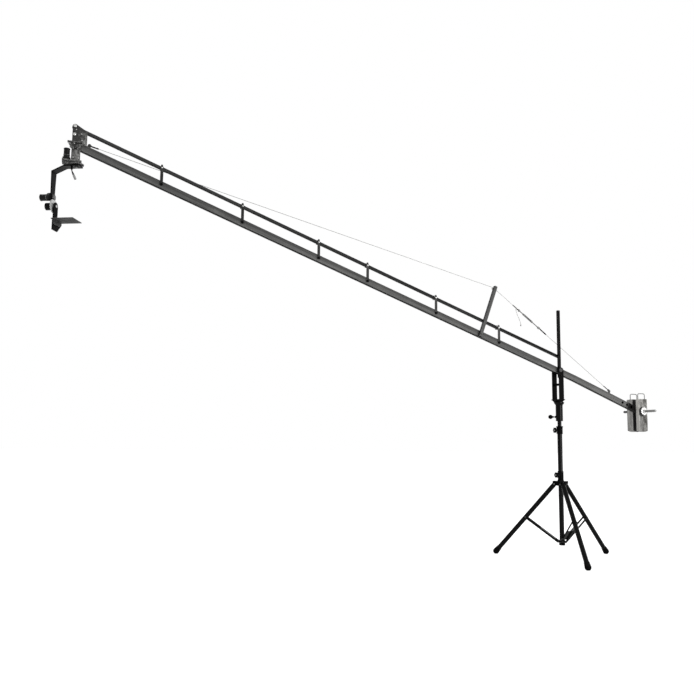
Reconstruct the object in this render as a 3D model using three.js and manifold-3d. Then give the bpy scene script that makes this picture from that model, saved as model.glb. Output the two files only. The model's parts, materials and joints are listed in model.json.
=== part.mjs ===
// Camera jib crane: a folding tripod stand, a pan sleeve with a fork, a four-section
// balanced boom with a levelling bar above it, a guy cable over a mast, a motorised
// pan and tilt head, and two hanging counterweights.
// Millimetres, +Z up. The boom runs along X with its head at -X.
import * as THREE from 'three';
import { mergeVertices } from 'three/addons/utils/BufferGeometryUtils.js';
import Module from 'manifold-3d';

const wasm = await Module();
wasm.setup();

// Fits and rounding that every piece shares
const fitGap = 0.3;
const cutOverrun = 6;
const fineSides = 16;
const coarseSides = 8;
const boltSides = 6;
const wheelSides = 12;
const arcSteps = 3;
const cordArcSteps = 4;
const weldDistance = 1e-4;
const rootOverlap = 1;
const rightAngle = Math.PI / 2;
const degree = Math.PI / 180;

// Tripod stand
const footRadius = 670;
const legAzimuths = [133.3 * degree, 13.3 * degree, -106.7 * degree];
const hubPinHeight = 705;
const hubCollarAbovePin = 125;
const hubKnobAbovePin = 88;
const hubPinRadius = 60;
const hubPinDiameter = 10;
const legDiameter = 44;
const legWall = 2;
const legPlugLength = 34;
const legFootInset = 30;
const bootTopDiameter = 50;
const bootBallDiameter = 60;
const bootLength = 84;
const bootFlatInset = 4;
const braceShare = 0.468;
const basePinRadius = 34;
const basePinHeight = 160;
const basePinDiameter = 8;
const basePinProud = 4;
const braceHeight = 20;
const braceWall = 2.5;
const braceInnerWidth = 47;
const braceWebStart = 36;
const braceWebEndShare = 0.54;
const rivetDiameter = 14;
const rivetThickness = 3;
const mainTubeDiameter = 46;
const mainTubeWall = 2;
const baseDiameter = 58;
const baseBelowPin = 33;
const baseAbovePin = 15;
const baseBottom = basePinHeight - baseBelowPin;
const baseTop = basePinHeight + baseAbovePin;
const baseLugRound = 6.5;
const mainTubeAboveBase = 10;
const mainTubeBottom = baseBottom + mainTubeAboveBase;
const hubBodyDiameter = 66;
const hubBodyBelowPin = 16;
const hubBodyAbovePin = 36;
const hubCheekThickness = 6;
const hubCheekRound = 13;
const hubCheekRise = 30;
const hubPinProud = 3;
const hubCollarDiameter = 56;
const hubCollarTop = hubPinHeight + hubCollarAbovePin;
const hubKnobAzimuth = 182 * degree;
const hubKnobHeight = hubPinHeight + hubKnobAbovePin;
const clampBossDiameter = 24;
const clampBossReach = 37;
const topKnobAzimuth = 174 * degree;
const topKnobHeight = 1225;
const topCollarBelowKnob = 37;
const topCollarAboveKnob = 40;
const mainTubeAboveKnob = 20;
const topCollarBottom = topKnobHeight - topCollarBelowKnob;
const topCollarTop = topKnobHeight + topCollarAboveKnob;
const mainTubeTop = topKnobHeight + mainTubeAboveKnob;
const topCollarDiameter = 58;
const topCollarRimDiameter = 64;
const topCollarRimHeight = 12;
const knobDiameter = 56;
const knobThickness = 17;
const knobNeckDiameter = 24;
const knobNeckLength = 6;
const knobLobeDepth = 5;
const knobLobes = 6;
const knobLobeSteps = 4;
const knobScrewDiameter = 8;

// Sliding pole and pan sleeve
const poleDiameter = 38;
const poleWall = 2.5;
const poleLength = 920;
const poleShown = 49;
const poleTopInset = 6;
const poleShoeHeight = 30;
const sleeveDiameter = 68;
const sleeveLength = 187;
const sleeveBottom = topCollarTop + poleShown;
const sleeveTop = sleeveBottom + sleeveLength;
const poleTop = sleeveTop - poleTopInset;
const poleBottom = poleTop - poleLength;
const sleeveFlangeDiameter = 98;
const sleeveFlangeHeight = 10;
const sleeveConeHeight = 22;
const panKnobAzimuth = 144 * degree;
const panKnobRise = 41;
const panKnobHeight = sleeveBottom + panKnobRise;
const panKnobReach = 84;
const panBallDiameter = 42;
const panRodDiameter = 9;
const panConeLength = 26;
const panConeDiameter = 26;
const panBossReach = 44;
const panBossDiameter = 22;

// Fork that carries the boom, with the levelling post
const forkInnerWidth = 102;
const forkPlateThickness = 8;
const forkPlateWidth = 55;
const forkPlateX = -9;
const forkBaseLength = 78;
const forkBaseThickness = 26;
const forkBaseLip = 9;
const forkBaseInset = 16;
const forkBarRise = 171;
const forkBarHeight = sleeveTop + forkBarRise;
const forkBarDiameter = 24;
const pivotX = -16;
const pivotRise = 310;
const pivotZ = sleeveTop + pivotRise;
const pivotBoltDiameter = 16;
const pivotHeadDiameter = 34;
const pivotHeadThickness = 11;
const pivotBushDiameter = 30;
const postSide = 25;
const postWall = 2;
const postLength = 667;
const postBelowPivot = 74;
const postBoltInset = 26;
const postBottom = pivotZ - postBelowPivot;
const postTop = postBottom + postLength;
const postBoltHeight = postBottom + postBoltInset;
const postBoltDiameter = 10;
const postHoleDiameter = 9;
const postHoleCount = 5;
const postHolePitch = 80;
const boltHeadThickness = 6;
const boltHeadDiameter = 17;

// Boom tubes
const boomTilt = 19.6 * degree;
const boomHeight = 57;
const boomWidth = 45;
const boomWall = 1.6;
const sectionLength = 1219;
const seamCount = 3;
const firstSectionReach = 1214;
const rearSeamBack = 200;
const rearArmLength = 885;
const rearArmDroop = 1.8 * degree;
const headPinInset = 22;
const lastSectionLength = 1231;
const lastSeamReach = firstSectionReach + (seamCount - 1) * sectionLength;
const headPinReach = lastSeamReach + lastSectionLength - headPinInset;
const seamGap = 0.6;
const spigotHalf = 200;
const rearSpigotHalf = 130;
const spigotWall = 2;
const spigotBoltOffsets = [40, 183];
const rearSpigotBoltOffsets = [35, 100];
const spigotBoltDiameter = 8;
const spigotHeadDiameter = 15;
const spigotHeadThickness = 5;

// Levelling bar above the boom, and its links
const linkSpan = 144.3;
const levelHeight = 20;
const levelWidth = 38;
const levelWall = 1.3;
const levelBackEnd = 24;
const levelFrontEnd = 17;
const levelSeamBack = 14;
const levelSpigotHalf = 75;
const levelBoltOffset = 40;
const levelBoltDiameter = 6;
const levelHeadDiameter = 13;
const levelHeadThickness = 4;
const linkPlaceShares = [0.1465, 0.2934, 0.4439, 0.5462, 0.6976, 0.8482];
const linkWidth = 25;
const linkThickness = 5;
const linkGap = 1;
const linkPinDiameter = 10;
const linkKnobDiameter = 24;
const linkKnobTipDiameter = 14;
const linkKnobThickness = 12;
const linkNutDiameter = 18;
const linkNutThickness = 7;
const saddleThickness = 3;
const saddleTopWidth = 12;
const saddleRise = 27;
const saddleDrop = 14;

// Mast and guy cable
const mastPlace = 930;
const mastSide = 30;
const mastWall = 2;
const mastBelow = 30;
const mastAbove = 494;
const mastGap = 0.5;
const mastBoltDiameter = 12;
const mastBoltHeadDiameter = 22;
const saddleWheelDiameter = 26;
const saddleWheelGroove = 5;
const saddleWheelWidth = 14;
const saddleWheelDrop = 14;
const saddleAxleDiameter = 10;
const cableDiameter = 4;
const cableLift = 0.9;
const ferruleDiameter = 9;
const ferruleLength = 72;
const ferruleRoot = 2;
const frontLugBack = 104;
const frontLugPlace = headPinReach - frontLugBack;
const frontLugRise = 58;
const frontLugDrop = 14;
const lugThickness = 6;
const lugWidth = 26;
const rearLugPlace = 648;
const rearLugRise = 24;
const eyeDiameter = 24;
const eyeThickness = 7;
const jawPinDiameter = 8;
const jawCheekThickness = 4;
const jawReach = 14;
const jawRootLength = 8;
const frontEyeShare = 0.205;
const turnbuckleStartShare = 0.247;
const turnbuckleEndShare = 0.325;
const rearEyeShare = 0.385;
const turnbuckleDiameter = 18;
const turnbuckleSlot = 9;
const turnbuckleRodDiameter = 8;
const tailDiameter = 4;
const tailFromEyeShare = 0.018;
const tailRoute = [
  [0, 0, 0], [0, 0, -9], [1, 0, -18], [3, 0, -27], [5.5, 0, -36], [9, 0, -46], [13, 0, -56], [17.5, 0, -66],
  [22.5, 0, -76], [27.5, 0, -86], [32.5, 0, -96], [37.5, 0, -106], [42, 0, -116], [46, 0, -126],
  [49.5, 0, -136], [52, 0, -146], [53, 0, -156],
];
const tailCapDiameter = 9;
const tailCapLength = 14;

// Head bracket, measured from the lower head pin
const headPlateInner = 27;
const headPlateThickness = 6;
const headPlateLeft = -16;
const headPlateRight = 98;
const headPlateStep = -9;
const headPlateTopRight = 115;
const headPinRound = 18;
const headNeckLeft = -13;
const headNeckRight = 51;
const headGussetLeft = -44;
const headGussetTop = -3;
const headGussetBottom = -54;
const headFlangeLeft = -50;
const headFlangeRight = 62;
const headFlangeThickness = 6;
const headFlangeDepth = 36;
const headWindowX = 15;
const headWindowZ = -38;
const headWindowSide = 24;
const headBlockTop = -112;
const headBlockLeft = 5;
const headBaseTop = -137;
const headBaseThickness = 12;
const headBaseLeft = -85;
const headBaseRight = 64;
const headBaseWidth = 74;
const headPinDiameter = 12;
const headBoltDiameter = 24;
const headBoltThickness = 8;
const headMiddleBoltHeight = 74;

// Motorised pan drive
const gearModule = 4;
const gearClearance = 0.25;
const panAxisX = 29;
const panGearTeeth = 26;
const panPinionTeeth = 14;
const panGearThickness = 10;
const panGearDrop = 10;
const panPinionThickness = 14;
const panPinionDrop = 8;
const panShaftDiameter = 20;
const panHubDiameter = 40;
const panHubLength = 5;
const panNutDiameter = 30;
const panNutHeight = 8;
const motorDiameter = 50;
const motorLength = 78;
const motorFootSide = 62;
const motorFootHeight = 16;
const motorCapHeight = 8;
const motorCapDiameter = 42;
const motorShaftDiameter = 10;
const motorShaftReach = 20;
const headTurn = -27 * degree;
const panCentres = (gearModule * (panGearTeeth + panPinionTeeth)) / 2;

// Drop arm, tilt drive and camera cradle, measured from the pan axis and the lower head pin
const armThickness = 10;
const armWidthTop = 70;
const armWidthBottom = 46;
const armInnerEnd = 36;
const armBendOut = 95;
const armDropOut = 190;
const armDropBend = 222;
const tiltAxisDrop = 506;
const tiltGearTeeth = 27;
const tiltPinionTeeth = 11;
const tiltGearThickness = 8;
const tiltGearOut = 176;
const tiltHubDiameter = 40;
const tiltShaftDiameter = 14;
const tiltBearingDiameter = 60;
const tiltBearingLength = 42;
const tiltMotorDiameter = 56;
const tiltMotorLength = 84;
const tiltMotorCollarLength = 12;
const tiltPlateRound = 32;
const cradleOut = 158;
const cradleThickness = 8;
const cradleShoulder = 106;
const cradleFront = 38;
const cradleBack = 104;
const cradleDepth = 199;
const cradleChamferY = 62;
const cradleChamferZ = 68;
const cameraPlateDrop = 115;
const cameraPlateThickness = 6;
const cameraPlateEnd = 30;
const cameraPlateFront = 75;
const cameraPlateBack = 80;
const cameraSlotLength = 90;
const cameraSlotWidth = 10;
const cameraLipDepth = 32;

// Short lead under the head with its plug: chosen points below its gland
const leadGlandX = -41;
const leadGlandDiameter = 15;
const leadGlandHeight = 5;
const leadRoute = [
  [0, 0, 0], [0, 0, -8], [1, 0, -16], [3, 0, -24], [6, 0, -32], [9.7, 0, -40], [13.6, 0, -48], [17.5, 0, -56],
];
const leadDiameter = 9;
const plugDiameter = 19;
const plugLength = 44;
const plugCollarLength = 8;
const plugCollarDiameter = 14;
const plugTurn = 26 * degree;

// Counterweights on their bar
const barHoleInset = 30;
const barHolePitch = 58;
const barHoleCount = 5;
const barDiameter = 25;
const barNearEnd = 240;
const barFarEnd = 213;
const barFlangeDiameter = 56;
const barFlangeThickness = 10;
const weightWidth = 107;
const weightTop = 125;
const weightBottom = 204;
const weightBottomCrown = 8;
const weightEdge = 8;
const nearWeightThickness = 43;
const farWeightThickness = 86;
const weightSideGap = 0.6;
const handleDiameter = 8;
const handleHeight = 55;
const handleSpan = 84;
const handleRound = 16;
const handleRoot = 8;
const handleSteps = 18;
const collarDiameter = 80;
const collarThickness = 20;
const collarHubDiameter = 44;
const collarHubLength = 10;
const collarNotches = 10;
const collarNotchDiameter = 10;

// Materials with the colours seen on the crane
function paint(color, roughness, metalness) {
  return new THREE.MeshStandardMaterial({ color, roughness, metalness });
}
const blackTube = paint(0x141416, 0.35, 0.4);
const blackCasting = paint(0x101012, 0.55, 0.1);
const greyTube = paint(0x4a4b4c, 0.5, 0.6);
const darkBar = paint(0x2c2d2e, 0.5, 0.5);
const zinc = paint(0xc8c9c8, 0.3, 0.9);
const castGrey = paint(0x8d8b86, 0.6, 0.5);
const blackRubber = paint(0x151515, 0.9, 0.0);
const motorBlack = paint(0x1a1a1b, 0.5, 0.3);
const alloy = paint(0xb9bab8, 0.4, 0.8);

// Solids from three.js geometry
function toSolid(geometry) {
  const bare = geometry.clone();
  bare.deleteAttribute('normal');
  bare.deleteAttribute('uv');
  const merged = mergeVertices(bare, weldDistance);
  const vertProperties = Float32Array.from(merged.attributes.position.array);
  const triVerts = Uint32Array.from(merged.index.array);
  return new wasm.Manifold(new wasm.Mesh({ numProp: 3, vertProperties, triVerts }));
}

function toGeometry(solid) {
  const mesh = solid.getMesh();
  const geometry = new THREE.BufferGeometry();
  const places = new Float32Array(mesh.numVert * 3);
  for (let i = 0; i < mesh.numVert; i += 1) {
    for (let k = 0; k < 3; k += 1) places[i * 3 + k] = mesh.vertProperties[i * mesh.numProp + k];
  }
  geometry.setAttribute('position', new THREE.BufferAttribute(places, 3));
  geometry.setIndex(new THREE.BufferAttribute(Uint32Array.from(mesh.triVerts), 1));
  geometry.computeVertexNormals();
  return geometry;
}

function join(solids) {
  return solids.reduce((whole, next) => whole.add(next));
}

function cut(solid, tools) {
  return tools.reduce((whole, tool) => whole.subtract(tool), solid);
}

// A box between two corners
function block(low, high) {
  const size = high.map((value, i) => value - low[i]);
  const geometry = new THREE.BoxGeometry(...size);
  geometry.translate(...low.map((value, i) => (value + high[i]) / 2));
  return toSolid(geometry);
}

const turnTo = {
  x: (geometry) => geometry.rotateZ(-rightAngle),
  y: (geometry) => geometry,
  z: (geometry) => geometry.rotateX(rightAngle),
};

// A straight cone or cylinder along an axis, from one place on it to another
function taper(axis, from, to, diameterFrom, diameterTo, centre = [0, 0], sides = fineSides) {
  const geometry = new THREE.CylinderGeometry(diameterTo / 2, diameterFrom / 2, to - from, sides);
  turnTo[axis](geometry);
  const middle = (from + to) / 2;
  const place = { x: [middle, ...centre], y: [centre[0], middle, centre[1]], z: [...centre, middle] };
  geometry.translate(...place[axis]);
  return toSolid(geometry);
}

function rod(axis, from, to, diameter, centre = [0, 0], sides = fineSides) {
  return taper(axis, from, to, diameter, diameter, centre, sides);
}

// A clearance bore: its flats, not its corners, keep the gap to a round of the given diameter
function bore(axis, from, to, diameter, centre = [0, 0], sides = fineSides) {
  return rod(axis, from, to, (diameter + 2 * fitGap) / Math.cos(Math.PI / sides), centre, sides);
}

// A flat plate: an outline in X and Z, drawn out along Y from low to high
function plateXZ(shape, yLow, yHigh, curveSegments = arcSteps) {
  const options = { depth: yHigh - yLow, bevelEnabled: false, curveSegments };
  const geometry = new THREE.ExtrudeGeometry(shape, options);
  geometry.rotateX(rightAngle);
  geometry.translate(0, yHigh, 0);
  return toSolid(geometry);
}

// A flat plate: an outline in Y and Z, drawn out along X from low to high
function plateYZ(shape, xLow, xHigh, curveSegments = arcSteps) {
  const options = { depth: xHigh - xLow, bevelEnabled: false, curveSegments };
  const geometry = new THREE.ExtrudeGeometry(shape, options);
  geometry.rotateX(rightAngle);
  geometry.rotateZ(rightAngle);
  geometry.translate(xLow, 0, 0);
  return toSolid(geometry);
}

function outline(points) {
  return new THREE.Shape(points.map(([u, v]) => new THREE.Vector2(u, v)));
}

// A plate outline with a round end of its own width about each of two centres on one line
function roundedBar(u, vLow, vHigh, width) {
  const shape = new THREE.Shape();
  shape.absarc(u, vHigh, width / 2, 0, Math.PI, false);
  shape.absarc(u, vLow, width / 2, Math.PI, Math.PI * 2, false);
  shape.closePath();
  return shape;
}

// A plate outline with one flat end and one round end of its own width
function tongue(u, flatEnd, roundEnd, width) {
  const half = width / 2;
  const rises = roundEnd > flatEnd;
  const start = rises ? 0 : Math.PI;
  const side = rises ? half : -half;
  const shape = new THREE.Shape();
  shape.moveTo(u + side, flatEnd);
  shape.lineTo(u + side, roundEnd);
  shape.absarc(u, roundEnd, half, start, start + Math.PI, false);
  shape.lineTo(u - side, flatEnd);
  shape.closePath();
  return shape;
}

// A rectangular tube along X, open at both ends
function boxTube(from, to, width, height, wall) {
  const outer = block([from, -width / 2, -height / 2], [to, width / 2, height / 2]);
  const inner = block(
    [from - cutOverrun, wall - width / 2, wall - height / 2],
    [to + cutOverrun, width / 2 - wall, height / 2 - wall],
  );
  return outer.subtract(inner);
}

// A round cable or bar along a list of points
function drawnRod(points, diameter, segments, steps) {
  const section = new THREE.Shape();
  section.absarc(0, 0, diameter / 2, 0, Math.PI * 2, false);
  const path = new THREE.CatmullRomCurve3(points.map((p) => new THREE.Vector3(...p)));
  const options = { steps, extrudePath: path, curveSegments: segments, bevelEnabled: false };
  return toSolid(new THREE.ExtrudeGeometry(section, options));
}

// A flat plate lying level: an outline in X and Y, drawn out along Z from low to high
function plateXY(shape, zLow, zHigh, curveSegments = arcSteps) {
  const options = { depth: zHigh - zLow, bevelEnabled: false, curveSegments };
  const geometry = new THREE.ExtrudeGeometry(shape, options);
  geometry.translate(0, 0, zLow);
  return toSolid(geometry);
}

// A solid turned about the Z axis, or about Y, and then moved
function placed(solid, azimuth, pitch = 0, offset = [0, 0, 0]) {
  const geometry = toGeometry(solid);
  geometry.rotateY(pitch);
  geometry.rotateZ(azimuth);
  geometry.translate(...offset);
  return toSolid(geometry);
}

// A rod between any two points
function strut(from, to, diameterFrom, diameterTo = diameterFrom, sides = coarseSides) {
  const start = new THREE.Vector3(...from);
  const line = new THREE.Vector3(...to).sub(start);
  const geometry = new THREE.CylinderGeometry(diameterTo / 2, diameterFrom / 2, line.length(), sides);
  geometry.translate(0, line.length() / 2, 0);
  const turn = new THREE.Quaternion().setFromUnitVectors(new THREE.Vector3(0, 1, 0), line.normalize());
  geometry.applyQuaternion(turn);
  geometry.translate(...from);
  return toSolid(geometry);
}

function between(from, to, share) {
  return from.map((value, i) => value + (to[i] - value) * share);
}

function piece(name, solid, material) {
  const mesh = new THREE.Mesh(toGeometry(solid), material);
  mesh.name = name;
  return mesh;
}

function nest(position, turn, ...children) {
  const group = new THREE.Group();
  group.position.set(...position);
  group.rotation.set(...turn);
  if (children.length > 0) group.add(...children);
  return group;
}

// A star-grip clamp knob with its screw, pointing out along X from a collar
function clampKnob(screwTip, faceReach) {
  const grip = new THREE.Shape();
  const steps = knobLobes * knobLobeSteps;
  for (let i = 0; i < steps; i += 1) {
    const angle = (i / steps) * Math.PI * 2;
    const radius = knobDiameter / 2 - (knobLobeDepth / 2) * (1 - Math.cos(angle * knobLobes));
    const place = [radius * Math.cos(angle), radius * Math.sin(angle)];
    if (i === 0) grip.moveTo(...place);
    else grip.lineTo(...place);
  }
  grip.closePath();
  const neckEnd = faceReach + knobNeckLength;
  const gripMiddle = neckEnd + knobThickness / 2;
  return join([
    plateYZ(grip, neckEnd, neckEnd + knobThickness),
    rod('x', faceReach, gripMiddle, knobNeckDiameter, [0, 0], coarseSides),
    rod('x', screwTip, gripMiddle, knobScrewDiameter, [0, 0], coarseSides),
  ]);
}

// The boss on a clamp collar that its knob screws into, and the bore for the screw
function clampBoss(azimuth, height) {
  return placed(rod('x', 0, clampBossReach, clampBossDiameter, [0, height], wheelSides), azimuth);
}

function clampBore(azimuth, height) {
  const passage = bore('x', 0, clampBossReach + cutOverrun, knobScrewDiameter, [0, height], coarseSides);
  return placed(passage, azimuth);
}

function placedKnob(name, azimuth, height) {
  const knob = clampKnob(mainTubeDiameter / 2 + fitGap, clampBossReach + fitGap);
  return nest([0, 0, height], [0, 0, azimuth], piece(name, knob, blackCasting));
}

// Folding tripod: the hub slides on the main tube, the braces hinge on the base
const legReach = footRadius - hubPinRadius;
const legLength = Math.hypot(legReach, hubPinHeight);
const legLean = Math.atan2(legReach, hubPinHeight);
const braceJointX = hubPinRadius + legReach * braceShare;
const braceJointZ = hubPinHeight * (1 - braceShare);
const braceLength = Math.hypot(braceJointX - basePinRadius, braceJointZ - basePinHeight);
const braceLean = Math.atan2(braceJointX - basePinRadius, braceJointZ - basePinHeight);
const braceLugWidth = braceInnerWidth - 2 * fitGap;
const mainTubeBore = mainTubeDiameter - 2 * mainTubeWall;

function makeMainTube() {
  const outer = rod('z', mainTubeBottom, mainTubeTop, mainTubeDiameter);
  const inside = rod('z', mainTubeBottom - cutOverrun, mainTubeTop + cutOverrun, mainTubeBore);
  return outer.subtract(inside);
}

function makeBraceBase() {
  const half = braceLugWidth / 2;
  const low = basePinHeight - baseLugRound;
  const high = basePinHeight + baseLugRound;
  const pinHalf = braceInnerWidth / 2 + braceWall + basePinProud;
  const lug = join([
    block([0, -half, low], [basePinRadius, half, high]),
    rod('y', -half, half, 2 * baseLugRound, [basePinRadius, basePinHeight], coarseSides),
    rod('y', -pinHalf, pinHalf, basePinDiameter, [basePinRadius, basePinHeight], coarseSides),
  ]);
  const lugs = legAzimuths.map((azimuth) => placed(lug, azimuth));
  const body = join([rod('z', baseBottom, baseTop, baseDiameter), ...lugs]);
  const seat = bore('z', mainTubeBottom - fitGap, baseTop + cutOverrun, mainTubeDiameter);
  return body.subtract(seat);
}

function makeHub() {
  const cheekIn = legDiameter / 2 + fitGap;
  const cheekOut = cheekIn + hubCheekThickness;
  const pinHalf = cheekOut + hubPinProud;
  const low = hubPinHeight - hubCheekRound;
  const high = hubPinHeight + hubCheekRise;
  const outer = hubPinRadius + hubCheekRound;
  function cheek(yLow, yHigh) {
    return join([
      block([0, yLow, low], [hubPinRadius, yHigh, high]),
      block([0, yLow, hubPinHeight], [outer, yHigh, high]),
      rod('y', yLow, yHigh, 2 * hubCheekRound, [hubPinRadius, hubPinHeight], wheelSides),
    ]);
  }
  const fork = join([
    cheek(cheekIn, cheekOut),
    cheek(-cheekOut, -cheekIn),
    rod('y', -pinHalf, pinHalf, hubPinDiameter, [hubPinRadius, hubPinHeight], coarseSides),
  ]);
  const forks = legAzimuths.map((azimuth) => placed(fork, azimuth));
  const body = join([
    rod('z', hubPinHeight - hubBodyBelowPin, hubPinHeight + hubBodyAbovePin, hubBodyDiameter),
    rod('z', hubPinHeight, hubCollarTop, hubCollarDiameter),
    clampBoss(hubKnobAzimuth, hubKnobHeight),
    ...forks,
  ]);
  const passage = bore('z', low - cutOverrun, hubCollarTop + cutOverrun, mainTubeDiameter);
  return cut(body, [passage, clampBore(hubKnobAzimuth, hubKnobHeight)]);
}

// A leg in its own frame: hinge pin at the origin, the tube hanging down from it
function makeLeg() {
  const tubeEnd = legFootInset - legLength;
  const bushHalf = braceInnerWidth / 2 - fitGap;
  const tube = rod('z', tubeEnd, legDiameter / 2, legDiameter);
  const crown = plateXZ(tongue(0, tubeEnd - cutOverrun, 0, legDiameter), -legDiameter, legDiameter);
  const bush = rod('y', -bushHalf, bushHalf, rivetDiameter, [0, -legLength * braceShare], coarseSides);
  const inside = rod('z', tubeEnd - cutOverrun, -legPlugLength, legDiameter - 2 * legWall);
  const pinHole = bore('y', -legDiameter, legDiameter, hubPinDiameter);
  return cut(tube.intersect(crown), [inside, pinHole]).add(bush);
}

// A rubber boot on the leg end: a cone with a round toe, cut flat where it stands on the floor
function makeFoot() {
  const top = bootLength - legLength;
  const toe = (bootBallDiameter / 2 - bootFlatInset) / Math.cos(legLean) - legLength;
  const ball = new THREE.SphereGeometry(bootBallDiameter / 2, fineSides, coarseSides);
  ball.rotateX(rightAngle);
  ball.translate(0, 0, toe);
  const boot = taper('z', toe, top, bootBallDiameter, bootTopDiameter).add(toSolid(ball));
  const pocket = bore('z', legFootInset - fitGap - legLength, top + cutOverrun, legDiameter);
  const floor = new THREE.BoxGeometry(footRadius, footRadius, footRadius);
  floor.translate(legReach, 0, -hubPinHeight - footRadius / 2);
  floor.rotateY(legLean);
  return cut(boot, [pocket, toSolid(floor)]);
}

// A brace in its own frame: base pin at the origin, the channel standing up from it
function makeBrace() {
  const side = roundedBar(0, 0, braceLength, braceHeight);
  const inner = braceInnerWidth / 2;
  const outer = inner + braceWall;
  const webIn = braceWall - braceHeight / 2;
  const web = block(
    [-braceHeight / 2, -outer, braceWebStart],
    [webIn, outer, braceLength * braceWebEndShare],
  );
  const parts = [web];
  for (const sign of [-1, 1]) {
    const faces = [sign * inner, sign * outer].sort((a, b) => a - b);
    const headFaces = [sign * outer, sign * (outer + rivetThickness)].sort((a, b) => a - b);
    parts.push(plateXZ(side, ...faces));
    parts.push(rod('y', ...headFaces, rivetDiameter, [0, braceLength], coarseSides));
  }
  const pinHole = bore('y', -outer - cutOverrun, outer + cutOverrun, basePinDiameter, [0, 0], coarseSides);
  return join(parts).subtract(pinHole);
}

function makeTopCollar() {
  const body = join([
    rod('z', topCollarBottom, topCollarTop, topCollarDiameter),
    rod('z', topCollarTop - topCollarRimHeight, topCollarTop, topCollarRimDiameter),
    clampBoss(topKnobAzimuth, topKnobHeight),
  ]);
  return cut(body, [
    bore('z', topCollarBottom - cutOverrun, mainTubeTop + fitGap, mainTubeDiameter),
    bore('z', topCollarBottom, topCollarTop + cutOverrun, poleDiameter),
    clampBore(topKnobAzimuth, topKnobHeight),
  ]);
}

function makeTripod() {
  const parts = [
    piece('main_tube', makeMainTube(), blackTube),
    piece('brace_base', makeBraceBase(), blackCasting),
    piece('leg_hub', makeHub(), blackCasting),
    placedKnob('hub_clamp_knob', hubKnobAzimuth, hubKnobHeight),
    piece('top_collar', makeTopCollar(), blackCasting),
    placedKnob('top_clamp_knob', topKnobAzimuth, topKnobHeight),
  ];
  legAzimuths.forEach((azimuth, i) => {
    const leg = piece(`leg_${i + 1}`, makeLeg(), blackTube);
    const foot = piece(`foot_${i + 1}`, makeFoot(), blackRubber);
    const brace = piece(`brace_${i + 1}`, makeBrace(), blackTube);
    const hangingLeg = nest([hubPinRadius, 0, hubPinHeight], [0, -legLean, 0], leg, foot);
    const risingBrace = nest([basePinRadius, 0, basePinHeight], [0, braceLean, 0], brace);
    parts.push(nest([0, 0, 0], [0, 0, azimuth], hangingLeg, risingBrace));
  });
  return parts;
}

// Sliding pole with its guide shoe, and the pan sleeve that turns on its top
function makePole() {
  const shoeDiameter = mainTubeBore * Math.cos(Math.PI / fineSides) - 2 * fitGap;
  const shoe = rod('z', poleBottom, poleBottom + poleShoeHeight, shoeDiameter);
  const inside = rod('z', poleBottom - cutOverrun, poleTop + cutOverrun, poleDiameter - 2 * poleWall);
  return rod('z', poleBottom, poleTop, poleDiameter).add(shoe).subtract(inside);
}

function makePanSleeve() {
  const flangeLow = sleeveTop - sleeveFlangeHeight;
  const boss = placed(rod('x', 0, panBossReach, panBossDiameter, [0, panKnobHeight]), panKnobAzimuth);
  const rodBore = bore('x', 0, panBossReach + cutOverrun, panRodDiameter, [0, panKnobHeight], coarseSides);
  const body = join([
    rod('z', sleeveBottom, sleeveTop, sleeveDiameter),
    rod('z', flangeLow, sleeveTop, sleeveFlangeDiameter),
    taper('z', flangeLow - sleeveConeHeight, flangeLow, sleeveDiameter, sleeveFlangeDiameter),
    boss,
  ]);
  return cut(body, [
    bore('z', sleeveBottom - cutOverrun, poleTop + fitGap, poleDiameter),
    placed(rodBore, panKnobAzimuth),
  ]);
}

// Pan lock: a ball on a cone and a threaded rod that presses on the pole
function makePanKnob() {
  const ball = new THREE.SphereGeometry(panBallDiameter / 2, wheelSides, coarseSides);
  ball.rotateZ(rightAngle);
  ball.translate(panKnobReach, 0, 0);
  const coneEnd = panKnobReach - panBallDiameter / 4;
  return join([
    toSolid(ball),
    taper('x', coneEnd - panConeLength, coneEnd, panRodDiameter, panConeDiameter, [0, 0], coarseSides),
    rod('x', poleDiameter / 2 + fitGap, panKnobReach, panRodDiameter, [0, 0], coarseSides),
  ]);
}

// Fork: a chamfered base, two plates with round tops and one cross bar
const forkInner = forkInnerWidth / 2;
const forkOuter = forkInner + forkPlateThickness;
const forkBase = sleeveTop + fitGap;

function makeFork() {
  const lipLow = forkBase + forkBaseThickness - forkBaseLip;
  const halfLength = forkBaseLength / 2;
  const low = [forkPlateX - halfLength, -forkOuter, lipLow];
  const high = [forkPlateX + halfLength, forkOuter, forkBase + forkBaseThickness];
  const taperLow = new THREE.BoxGeometry(forkBaseLength, 2 * forkOuter, forkBaseThickness);
  taperLow.translate(0, 0, forkBaseThickness / 2);
  const places = taperLow.attributes.position;
  for (let i = 0; i < places.count; i += 1) {
    if (places.getZ(i) < forkBaseThickness / 2) {
      places.setX(i, places.getX(i) - Math.sign(places.getX(i)) * forkBaseInset);
      places.setY(i, places.getY(i) - Math.sign(places.getY(i)) * forkBaseInset);
    }
  }
  taperLow.translate(forkPlateX, 0, forkBase);
  const shape = tongue(forkPlateX, lipLow, pivotZ, forkPlateWidth);
  const body = join([
    block(low, high),
    toSolid(taperLow),
    plateXZ(shape, forkInner, forkOuter),
    plateXZ(shape, -forkOuter, -forkInner),
    rod('y', -forkOuter, forkOuter, forkBarDiameter, [forkPlateX, forkBarHeight]),
  ]);
  const reach = forkOuter + cutOverrun;
  return cut(body, [
    bore('y', -reach, reach, pivotBoltDiameter, [pivotX, pivotZ], coarseSides),
    bore('y', -reach, 0, postBoltDiameter, [pivotX, postBoltHeight], coarseSides),
  ]);
}

// Levelling post: a square tube inside the near fork plate, with its bolt and the bar's pin
const postNear = fitGap - forkInner;
const postFar = postNear + postSide;

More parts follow.
